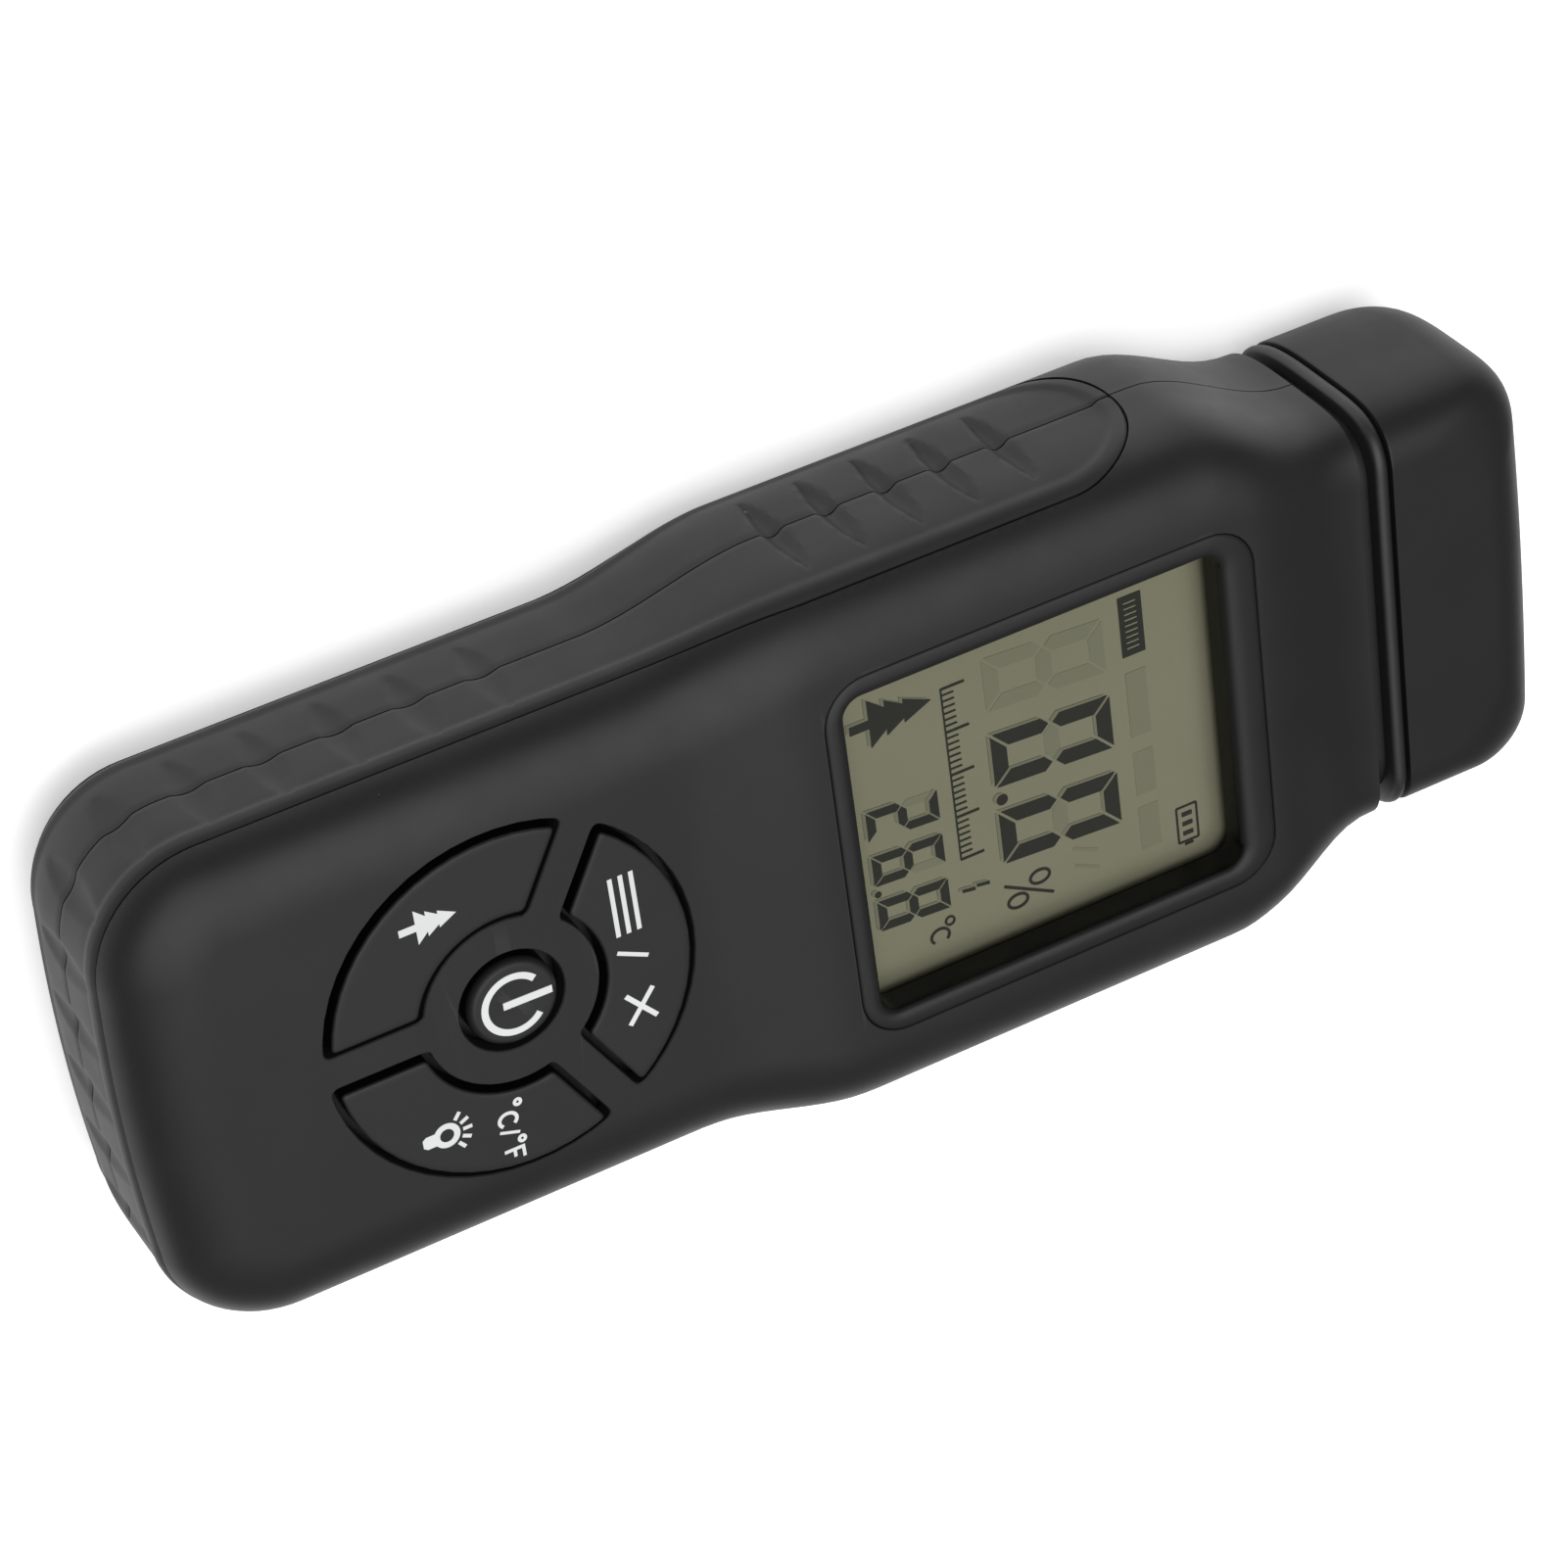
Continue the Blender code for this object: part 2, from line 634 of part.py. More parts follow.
def build_keypad(paints):
    for name, angle in SECTOR_ANGLES.items():
        place_on_axis(sector_key(name, angle, paints["key"]), dome_centre(angle))
    flange, body = POWER_RADIUS + KEY_FLANGE, POWER_RADIUS - KEY_CLEARANCE
    low, high = KEY_FLANGE_Z
    profile = [(flange, low), (flange, high), (body, high), (body, KEY_TOP - KEY_EDGE), (body - KEY_EDGE, KEY_TOP)]
    power = turned("key_power", profile, (0, KEY_CENTRE_Y, 0), segments=24, material=paints["key"])
    place_on_axis(power, (0, KEY_CENTRE_Y))
    z_low = KEYPAD_BOARD_Z[1] + GAP
    profile = [(MAT_RADIUS, z_low), (MAT_RADIUS, z_low + MAT_THICKNESS)]
    mat = turned("keypad_mat", profile, (0, KEY_CENTRE_Y, 0), segments=36)
    centres = {"key_power": (0, KEY_CENTRE_Y)}
    centres.update({name: dome_centre(angle) for name, angle in SECTOR_ANGLES.items()})
    for name, centre in centres.items():
        cut(mat, post(centre, DOME_CIRCLE_GAP, z_low - 1, z_low + 2))
        turned(name.replace("key_", "dome_"), DOME_PROFILE, (*centre, z_low), segments=14, material=paints["dome"])
    clean(mat, paints["dome"])


def dome_centre(angle):
    turn = radians(angle)
    return (DOME_CIRCLE * cos(turn), KEY_CENTRE_Y + DOME_CIRCLE * sin(turn))


# ---------------------------------------------------------------- power

def across_y(name, outline, y_low, y_high, material=None):
    """Prism along Y from an outline in X and Z."""
    bm, loops = skin([[(x, y, z) for x, z in outline] for y in (y_low, y_high)])
    bm.faces.new(loops[0])
    bm.faces.new(loops[1])
    return finish(name, bm, material)


def wire(name, points, radius, material):
    """Insulated lead along a smooth curve through a few points."""
    curve = bpy.data.curves.new(name, "CURVE")
    curve.dimensions = "3D"
    curve.bevel_depth = radius * MM
    curve.bevel_resolution = 1
    curve.use_fill_caps = True
    spline = curve.splines.new("POLY")
    smooth = catmull(points, 3)
    spline.points.add(len(smooth) - 1)
    for point, place in zip(spline.points, smooth):
        point.co = (*scaled(*place), 1.0)
    curve.materials.append(material)
    obj = bpy.data.objects.new(name, curve)
    bpy.context.collection.objects.link(obj)
    return obj


def catmull(points, steps):
    """Points of a Catmull-Rom curve through the given points."""
    path = [Vector(point) for point in points]
    padded = [2 * path[0] - path[1]] + path + [2 * path[-1] - path[-2]]
    result = []
    for a, b, c, d in zip(padded, padded[1:], padded[2:], padded[3:]):
        for step in range(steps):
            u = step / steps
            result.append(0.5 * (2 * b + (c - a) * u + (2 * a - 5 * b + 4 * c - d) * u * u
                                 + (3 * b - a - 3 * c + d) * u ** 3))
    return result + [path[-1]]


def build_power(paints):
    z_low, z_high = BATTERY_Z
    section = rounded_rectangle(BATTERY_HALF, z_low, z_high, 2.4, steps=3)
    across_y("battery", section, *BATTERY_Y, material=paints["battery"])
    middle = (z_low + z_high) / 2
    top = BATTERY_Y[1] + GAP
    for name, x, radius in (("battery_stud_positive", -6.35, 2.9), ("battery_stud_negative", 6.35, 4.3)):
        profile = [(radius, top), (radius, top + 2.4)]
        turned(name, profile, (x, 0, middle), "Y", segments=12, material=paints["steel"])
    box("snap_connector", (-12.5, 12.5), (top + 2.7, SNAP_PLATE_END), (middle - 6, middle + 6), paints["vinyl"])
    for name, x in (("battery_lead_positive", -3.0), ("battery_lead_negative", 3.0)):
        route = [(x, y, z) for y, z in BATTERY_LEAD_ROUTE]
        wire(name, route, 0.6, paints[name])


def build_door(paints):
    low, high = DOOR_Y
    door = box("battery_door", (-DOOR_HALF, DOOR_HALF), DOOR_Y, (0, DOOR_THICKNESS))
    tongue = (-DOOR_TONGUE_HALF, DOOR_TONGUE_HALF)
    add(door, box("riser", tongue, (low, low + 0.6), (1, DOOR_TONGUE_Z[1])))
    add(door, box("tongue", tongue, (low - DOOR_TONGUE_REACH, low + 0.3), DOOR_TONGUE_Z))
    clean(door, paints["case"], smooth=False)
    place_on_axis(door, (0, low))
    box("battery_pad", (-10, 10), (low + 7.5, high - 11), PAD_Z, paints["foam"])


# ---------------------------------------------------------------- probe

def build_probe(paints):
    half = NOSE_FLANGE_HALF
    nose = box("probe_block", (-half, half), (62.2, SPIGOT_END - CAP_WALL - GAP), NOSE_FLANGE_Z)
    add(nose, box("nose", (-NOSE_HALF, NOSE_HALF), (64, NOSE_FACE), NOSE_Z))
    bore = [(SOCKET_RADIUS + GAP, 60), (SOCKET_RADIUS + GAP, 70)]
    for x in (-PIN_X, PIN_X):
        cut(nose, turned("bore", bore, (x, 0, PIN_Z), "Y", segments=16))
    clean(nose, paints["nose"])
    for side, x in (("left", -PIN_X), ("right", PIN_X)):
        socket = [(1.6, 56), (1.6, 60), (SOCKET_RADIUS, 60), (SOCKET_RADIUS, NOSE_FACE + 0.6)]
        turned(f"pin_socket_{side}", socket, (x, 0, PIN_Z), "Y", segments=12, material=paints["brass"])
        start = NOSE_FACE + 0.9
        pin = [(1.9, start), (1.9, start + 1.2), (PIN_RADIUS, start + 1.2),
               (PIN_RADIUS, PIN_TIP - 2.2), (0.1, PIN_TIP)]
        turned(f"electrode_pin_{side}", pin, (x, 0, PIN_Z), "Y", segments=12, material=paints["steel"])
        route = [(x, y, z) for y, z in PROBE_LEAD_ROUTE]
        wire(f"probe_lead_{side}", route, 0.5, paints["probe_lead"])


# ---------------------------------------------------------------- fasteners

def screws(name, positions, head, shank, material):
    """Screws with their heads down: head is (radius, low, high), shank is (radius, high)."""
    profile = [(head[0], head[1]), (head[0], head[2]), (shank[0], head[2]), shank]
    for number, position in enumerate(positions, start=1):
        turned(f"{name}_{number}", profile, (*position, 0), segments=10, material=material)


def build_screws(paints):
    screws("case_screw", CASE_SCREWS, (2.2, 4.1, 5.7), (1.2, 20.5), paints["steel"])
    under = KEYPAD_BOARD_Z[0] - GAP
    screws("keypad_board_screw", KEYPAD_BOARD_SCREWS, (2.0, under - 1.3, under), (0.9, 24.6), paints["steel"])
    under = MAIN_BOARD_Z[0] - GAP
    screws("main_board_screw", MAIN_BOARD_SCREWS, (2.0, under - 1.3, under), (0.9, 22.5), paints["steel"])


# ---------------------------------------------------------------- assembly

def make_paints():
    return {
        "case": paint("case_plastic", (0.040, 0.040, 0.041), 0.48),
        "grip": paint("grip_rubber", (0.034, 0.033, 0.034), 0.72),
        "cap": paint("cap_plastic", (0.042, 0.041, 0.042), 0.46),
        "ring": paint("ring_rubber", (0.020, 0.020, 0.021), 0.6),
        "bezel": paint("bezel_plastic", (0.036, 0.036, 0.037), 0.45),
        "key": paint("key_rubber", (0.038, 0.038, 0.039), 0.6),
        "dome": paint("silicone_rubber", (0.30, 0.31, 0.32), 0.6),
        "window": paint("window_plastic", (0.9, 0.92, 0.9), 0.05, alpha=0.3),
        "lcd": paint("lcd_glass", (0.27, 0.27, 0.20), 0.2),
        "diffuser": paint("diffuser_plastic", (0.85, 0.86, 0.82), 0.4),
        "holder": paint("holder_plastic", (0.55, 0.55, 0.53), 0.5),
        "zebra": paint("zebra_rubber", (0.10, 0.10, 0.11), 0.7),
        "led": paint("led_body", (0.9, 0.85, 0.55), 0.3),
        "board": paint("board_laminate", (0.02, 0.14, 0.05), 0.45),
        "chip": paint("chip_resin", (0.02, 0.02, 0.02), 0.5),
        "can": paint("crystal_can", (0.7, 0.7, 0.7), 0.25, metallic=1.0),
        "buzzer": paint("buzzer_plastic", (0.02, 0.02, 0.02), 0.4),
        "capacitor": paint("capacitor_sleeve", (0.03, 0.06, 0.2), 0.35),
        "battery": paint("battery_can", (0.25, 0.25, 0.27), 0.35, metallic=0.6),
        "steel": paint("plated_steel", (0.62, 0.62, 0.63), 0.25, metallic=1.0),
        "vinyl": paint("snap_vinyl", (0.03, 0.03, 0.03), 0.6),
        "battery_lead_positive": paint("red_insulation", (0.5, 0.02, 0.02), 0.45),
        "battery_lead_negative": paint("black_insulation", (0.02, 0.02, 0.02), 0.45),
        "foam": paint("battery_foam", (0.08, 0.08, 0.09), 0.9),
        "nose": paint("nose_plastic", (0.05, 0.05, 0.052), 0.5),
        "brass": paint("socket_brass", (0.72, 0.52, 0.2), 0.28, metallic=1.0),
        "probe_lead": paint("white_insulation", (0.75, 0.75, 0.72), 0.45),
    }


def main():
    for obj in list(bpy.data.objects):
        bpy.data.objects.remove(obj)
    paints = make_paints()
    build_front_shell(paints["case"])
    build_rear_shell(paints["case"])
    grip("front_grip", 1, paints["grip"])
    grip("rear_grip", -1, paints["grip"])
    build_cap(paints["cap"])
    build_ring(paints["ring"])
    build_bezel(paints["bezel"])
    build_display(paints)
    build_boards(paints)
    build_keypad(paints)
    build_power(paints)
    build_door(paints)
    build_probe(paints)
    build_screws(paints)


main()
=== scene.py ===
"""Looks of the moisture meter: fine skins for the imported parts, marks, readout, materials and studio.

Lengths are in millimetres until a mesh is finished, in the part's own frame:
+Y towards the protective cap, +Z out of the display face.
"""

from math import asin, cos, degrees, pi, radians, sin, sqrt

import bmesh
import bpy
from mathutils import Matrix, Vector


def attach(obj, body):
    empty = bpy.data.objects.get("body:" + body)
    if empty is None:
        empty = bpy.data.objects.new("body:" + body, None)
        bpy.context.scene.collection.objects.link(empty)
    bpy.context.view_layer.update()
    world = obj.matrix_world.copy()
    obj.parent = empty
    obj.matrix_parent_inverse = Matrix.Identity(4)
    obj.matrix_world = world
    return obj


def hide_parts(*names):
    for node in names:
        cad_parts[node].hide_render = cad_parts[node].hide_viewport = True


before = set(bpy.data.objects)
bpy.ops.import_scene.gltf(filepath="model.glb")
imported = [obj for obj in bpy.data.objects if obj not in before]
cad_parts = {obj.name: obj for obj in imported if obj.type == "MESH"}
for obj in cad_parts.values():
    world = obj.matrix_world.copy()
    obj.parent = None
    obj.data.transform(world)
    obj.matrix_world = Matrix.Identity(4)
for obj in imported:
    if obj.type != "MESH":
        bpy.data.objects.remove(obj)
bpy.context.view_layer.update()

MM = 0.001

# Shape of the case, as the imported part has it.
HANDLE_END = -81.0
NECK_END = 59.4
CAP_END = 81.0
PARTING = 14.6
HANDLE_HALF = 28.5
HEAD_HALF = 31.8
NECK_HALF = 24.8
FLARE = (-23.0, -3.0)
SHOULDER = (40.5, 59.0)
CORNER_RADIUS = 13.0
END_BULGE = 0.6
HANDLE_FACE = 28.0
HEAD_FACE = 29.6
NECK_FACE = 27.0
FACE_RISE = (-20.0, -6.0)
FACE_FALL = (45.5, 58.0)
FRONT_EDGE = 9.5
REAR_EDGE = 9.5
NECK_EDGE = 6.0
FRONT_POWER = 5.0
REAR_POWER = 3.3
SIDE_WALL = 3.4
FACE_WALL = 2.2
SPIGOT_INSET = 1.9
SPIGOT_END = 67.5
CAP_START = 63.2
CAP_WALL = 1.6
CAP_CORNER_RADIUS = (6.0, 8.5)
CAP_BULGE = 0.3
RING_Y = (61.3, 62.9)

# Seams between pieces, and the grip's band.
SEAM = 0.09
GRIP_THICKNESS = 1.2
GRIP_SEAM = 0.34
GRIP_EDGE_FRONT = (23.2, 26.3)
GRIP_EDGE_REAR = (4.4, 2.8)
TONGUE_START = 26.8
TONGUE_END = 38.2
LIP_DEPTH = 0.38
LIP_EDGE = (1.3, 2.3)

KEY_CENTRE_Y = -41.0
KEYPAD_RADIUS = 20.0
KEY_INNER_RADIUS = 9.5
KEY_RIB_HALF = 1.85
KEY_CLEARANCE = 0.72
POWER_RADIUS = 5.7
POWER_CLEARANCE = 0.85
KEY_TOP = 28.5
KEY_FLANGE = 0.8
KEY_FLANGE_Z = (24.7, 25.5)
KEY_ROLL = 0.32
POWER_ROLL = (0.7, 0.9)
SECTOR_ANGLES = {"mode": 90.0, "species": 210.0, "light": 330.0}

BEZEL_OUTER = (21.6, -4.7, 44.6, 5.0)
BEZEL_INNER = (19.2, -2.4, 40.8, 2.0)
BEZEL_FLANGE = 1.3
BEZEL_FLANGE_Z = (26.1, 27.1)
PANEL_TOP = 24.7

CASE_SCREWS = ((-19.0, 49.0), (19.0, 49.0), (-19.5, -68.0), (19.5, -68.0))
BAY_HALF = 13.75
BAY_Y = (-75.1, -19.1)
BAY_ROOF = (20.2, 20.9)
DOOR_HALF = 14.2
DOOR_Y = (-72.5, -24.0)
PILOT_RADIUS = 1.5
PIN_X = 11.0
PIN_Z = 14.0


# ---- shape rules

def ease(value, span):
    """Smooth step from 0 before the span to 1 after it."""
    u = min(1.0, max(0.0, (value - span[0]) / (span[1] - span[0])))
    return u * u * (3 - 2 * u)


def mix(low, high, share):
    return low + (high - low) * share


def half_width(y):
    return (HANDLE_HALF + (HEAD_HALF - HANDLE_HALF) * ease(y, FLARE)
            - (HEAD_HALF - NECK_HALF) * ease(y, SHOULDER))


def face_height(y):
    return (HANDLE_FACE + (HEAD_FACE - HANDLE_FACE) * ease(y, FACE_RISE)
            - (HEAD_FACE - NECK_FACE) * ease(y, FACE_FALL))


def edge_inset(y, t, side):
    """How far the side leans in at height fraction t, on the front (1) or rear (-1) half."""
    share = ease(y, SHOULDER)
    if side > 0:
        reach, power = mix(FRONT_EDGE, NECK_EDGE, share), FRONT_POWER
    else:
        reach, power = mix(REAR_EDGE, NECK_EDGE, share), REAR_POWER
    return reach * (1 - sqrt(max(0.0, 1 - t ** power)))


def edge_levels(side, step=5):
    """Height fractions that go evenly round the edge's curve."""
    power = FRONT_POWER if side > 0 else REAR_POWER
    curve = [sin(radians(a)) ** (2 / power) for a in range(step, 91, step)]
    return [0.0, curve[0] / 3, curve[0] * 2 / 3] + curve


def all_levels():
    """Height fractions from the back (-1) to the front (1)."""
    return [-t for t in edge_levels(-1)[:0:-1]] + edge_levels(1)


def half_span(y, side):
    return face_height(y) - PARTING if side > 0 else PARTING


def with_normals(points):
    """(x, y, nx, ny) for a right-hand outline that starts on the centre line."""
    result = []
    last = len(points) - 1
    for i, (x, y) in enumerate(points):
        before = points[i - 1] if i else (-points[1][0], points[1][1])
        after = points[i + 1] if i < last else (x, y + (y - points[i - 1][1]))
        run = Vector((after[0] - before[0], after[1] - before[1])).normalized()
        result.append((x, y, run.y, -run.x))
    return result


def body_outline(y_end, step=1.6, corner_steps=16):
    """Right half of the plan outline, from the handle's end up the side."""
    flat = HANDLE_HALF - CORNER_RADIUS
    centre_y = HANDLE_END + END_BULGE + CORNER_RADIUS
    flat_steps = max(8, int(flat / step))
    points = [(flat * i / flat_steps, HANDLE_END + END_BULGE * (i / flat_steps) ** 2)
              for i in range(flat_steps)]
    for i in range(corner_steps + 1):
        angle = radians(-90 + 90 * i / corner_steps)
        points.append((flat + CORNER_RADIUS * cos(angle), centre_y + CORNER_RADIUS * sin(angle)))
    count = int((y_end - centre_y) / step)
    for i in range(1, count + 1):
        y = mix(centre_y, y_end, i / count)
        points.append((half_width(y), y))
    return with_normals(points)


def cap_outline(start, t, drawn_in):
    """Right half of the cap's plan outline at height fraction t, from its closed end back to its rim."""
    lean = edge_inset(SHOULDER[1], abs(t), t)
    radius = mix(*CAP_CORNER_RADIUS, lean / NECK_EDGE)
    half = NECK_HALF - lean - drawn_in
    flat = half - radius
    end = CAP_END - lean - drawn_in
    centre_y = end - CAP_BULGE - radius
    points = [(flat * i / 8, end - CAP_BULGE * (i / 8) ** 2) for i in range(8)]
    for i in range(15):
        angle = radians(90 - 90 * i / 14)
        points.append((flat + radius * cos(angle), centre_y + radius * sin(angle)))
    return points + [(half, mix(centre_y, start, share)) for share in (0.33, 0.66, 1.0)]


# ---- mesh helpers

def skin_into(bm, rings, capped=True, looped=False):
    """Adds a tube through rings of equal length, its ends capped or joined to each other."""
    loops = [[bm.verts.new(Vector(point) * MM) for point in ring] for ring in rings]
    count = len(loops[0])
    pairs = list(zip(loops, loops[1:]))
    if looped:
        pairs.append((loops[-1], loops[0]))
    for low, high in pairs:
        for i in range(count):
            j = (i + 1) % count
            bm.faces.new((low[i], low[j], high[j], high[i]))
    if capped and not looped:
        bm.faces.new(loops[0])
        bm.faces.new(loops[-1])
    return loops


def rungs(bm, loop):
    """Closes a ring that is symmetric about X with strips across it."""
    right = loop[len(loop) // 2:]
    left = loop[len(loop) // 2::-1]
    bm.faces.new((right[0], right[1], left[1]))
    for i in range(1, len(right) - 1):
        bm.faces.new((right[i], right[i + 1], left[i + 1], left[i]))


def finish(name, bm, smooth=True):
    bmesh.ops.recalc_face_normals(bm, faces=bm.faces)
    mesh = bpy.data.meshes.new(name)
    bm.to_mesh(mesh)
    bm.free()
    obj = bpy.data.objects.new(name, mesh)
    bpy.context.collection.objects.link(obj)
    if smooth:
        soften(obj)
    return obj


def mirrored(half):
    """Whole ring from its right-hand half, which starts on the centre line."""
    return [(-x, y, z) for x, y, z in half[:0:-1]] + half


def closed_stack(name, rings):
    """Solid through rings that are symmetric about X."""
    bm = bmesh.new()
    loops = skin_into(bm, rings, capped=False)
    rungs(bm, loops[0])
    rungs(bm, loops[-1])
    return finish(name, bm)


def soften(obj, angle=32):
    obj.data.shade_smooth()
    obj.data.set_sharp_from_angle(angle=radians(angle))


def tube(name, rings, looped=False, smooth=True):
    bm = bmesh.new()
    skin_into(bm, rings, looped=looped)
    return finish(name, bm, smooth)


def contour_stack(name, outline, levels, inset, height, flat_margin=0.0):
    """Solid built from copies of a plan outline, each drawn in by inset and set at height."""
    rings = []
    steps = [(t, 0.0) for t in levels]
    if flat_margin:
        steps.append((levels[-1], flat_margin))
    far_end = outline[-1][1]
    for t, extra in steps:
        half = []
        for x, y, nx, ny in outline:
            depth = inset(y, t) + extra
            drawn_x = 0.0 if x == 0 else max(0.01, x - nx * depth)
            drawn_y = y - ny * depth - (0.05 * extra if y == far_end else 0.0)
            half.append((drawn_x, drawn_y, height(drawn_y, t)))
        rings.append(mirrored(half))
    return closed_stack(name, rings)


def rounded_rectangle(half, y_low, y_high, radius, steps=8):
    corners = ((half - radius, y_low + radius, -90), (half - radius, y_high - radius, 0),
               (radius - half, y_high - radius, 90), (radius - half, y_low + radius, 180))
    points = []
    for cx, cy, start in corners:
        for step in range(steps + 1):
            angle = radians(start + 90 * step / steps)
            points.append((cx + radius * cos(angle), cy + radius * sin(angle)))
    return points


def level(outline, z):
    return [(x, y, z) for x, y in outline]


def prism(name, outline, z_low, z_high):
    return tube(name, [level(outline, z_low), level(outline, z_high)], smooth=False)


def box(name, x, y, z):
    outline = [(x[0], y[0]), (x[1], y[0]), (x[1], y[1]), (x[0], y[1])]
    return prism(name, outline, z[0], z[1])


def turned(name, profile, centre, axis="Z", segments=48):
    """Solid of revolution from (radius, distance along the axis) pairs, at centre."""
    cx, cy, cz = centre
    rings = []
    for radius, along in profile:
        ring = []
        for i in range(segments):
            a = radius * cos(2 * pi * i / segments)
            b = radius * sin(2 * pi * i / segments)
            ring.append((cx + a, cy + b, cz + along) if axis == "Z" else (cx + a, cy + along, cz + b))
        rings.append(ring)
    return tube(name, rings)


def boolean(target, other, operation):
    """Applies a Boolean with another object, which is used up."""
    modifier = target.modifiers.new("cut", "BOOLEAN")
    modifier.operation = operation
    modifier.object = other
    graph = bpy.context.evaluated_depsgraph_get()
    mesh = bpy.data.meshes.new_from_object(target.evaluated_get(graph), depsgraph=graph)
    target.modifiers.clear()
    target.data = mesh
    bpy.data.objects.remove(other)
    return target


def cut(target, *others):
    for other in others:
        boolean(target, other, "DIFFERENCE")
    return target


def add(target, *others):
    for other in others:
        boolean(target, other, "UNION")
    return target


def tidy(obj):
    """Drops the scraps of edge that a cut leaves and shades the result."""
    bm = bmesh.new()
    bm.from_mesh(obj.data)
    bmesh.ops.dissolve_degenerate(bm, edges=bm.edges, dist=0.000005)
    bm.to_mesh(obj.data)
    bm.free()
    soften(obj)
    shading = obj.modifiers.new("even_shading", "WEIGHTED_NORMAL")
    shading.keep_sharp = True
    shading.weight = 100
    return obj


def paint_shade(obj, slot, chosen):
    """Paints shade with a second material on the faces that chosen picks by centre."""
    obj.data.materials.append(MATERIALS[slot])
    for face in obj.data.polygons:
        if chosen(face.center / MM):
            face.material_index = 1


def dress(obj, slot, body, *replaced):
    """Gives a piece its material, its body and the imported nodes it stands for."""
    obj.data.materials.clear()
    obj.data.materials.append(MATERIALS[slot])
    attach(obj, body)
    if replaced:
        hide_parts(*replaced)
    return obj


def filleted(points, radius, steps=5):
    """Closed outline with each sharp corner replaced by a short curve."""
    result = []
    count = len(points)
    for i in range(count):
        before, here, after = (Vector(points[(i + k) % count]) for k in (-1, 0, 1))
        back, ahead = before - here, after - here
        if back.angle(ahead) > radians(150):
            result.append(tuple(here))
            continue
        start = here + back.normalized() * min(radius, back.length * 0.5)
        end = here + ahead.normalized() * min(radius, ahead.length * 0.5)
        for step in range(steps + 1):
            u = step / steps
            result.append(tuple(start * (1 - u) ** 2 + here * 2 * u * (1 - u) + end * u * u))
    return result


def sector_outline(angle, outer, inner, rib_half, corner, steps=16):
    """Rounded outline of one keypad sector, between two radii and clear of the ribs beside it."""
    points = []
    for radius, direction in ((outer, 1), (inner, -1)):
        reach = 60 - degrees(asin(rib_half / radius))
        for step in range(steps + 1):
            turn = radians(angle + direction * reach * (2 * step / steps - 1))
            points.append((radius * cos(turn), KEY_CENTRE_Y + radius * sin(turn)))
    return filleted(points, corner)


# ---- materials

def nodes_of(material):
    material.use_nodes = True
    tree = material.node_tree
    return tree, tree.nodes, tree.links


def noise(tree, coordinates, scale, detail=3.0, roughness=0.55):
    node = tree.nodes.new("ShaderNodeTexNoise")
    node.inputs["Scale"].default_value = scale
    node.inputs["Detail"].default_value = detail
    node.inputs["Roughness"].default_value = roughness
    tree.links.new(coordinates, node.inputs["Vector"])
    return node.outputs["Fac"]


def ranged(tree, value, low, high, at=(0.3, 0.7)):
    node = tree.nodes.new("ShaderNodeMapRange")
    node.inputs["From Min"].default_value = at[0]
    node.inputs["From Max"].default_value = at[1]
    node.inputs["To Min"].default_value = low
    node.inputs["To Max"].default_value = high
    tree.links.new(value, node.inputs["Value"])
    return node.outputs["Result"]


def blended(tree, factor, first, second):
    """Colour between two others; a colour is a triple or a socket."""
    node = tree.nodes.new("ShaderNodeMix")
    node.data_type = "RGBA"
    tree.links.new(factor, node.inputs["Factor"])
    for socket, colour in ((node.inputs[6], first), (node.inputs[7], second)):
        if isinstance(colour, tuple):
            socket.default_value = (*colour, 1.0)
        else:
            tree.links.new(colour, socket)
    return node.outputs[2]


def bumped(tree, height, strength, distance):
    node = tree.nodes.new("ShaderNodeBump")
    node.inputs["Strength"].default_value = strength
    node.inputs["Distance"].default_value = distance
    tree.links.new(height, node.inputs["Height"])
    return node.outputs["Normal"]


def multiplied(tree, first, second):
    node = tree.nodes.new("ShaderNodeMath")
    node.operation = "MULTIPLY"
    tree.links.new(first, node.inputs[0])
    tree.links.new(second, node.inputs[1])
    return node.outputs["Value"]


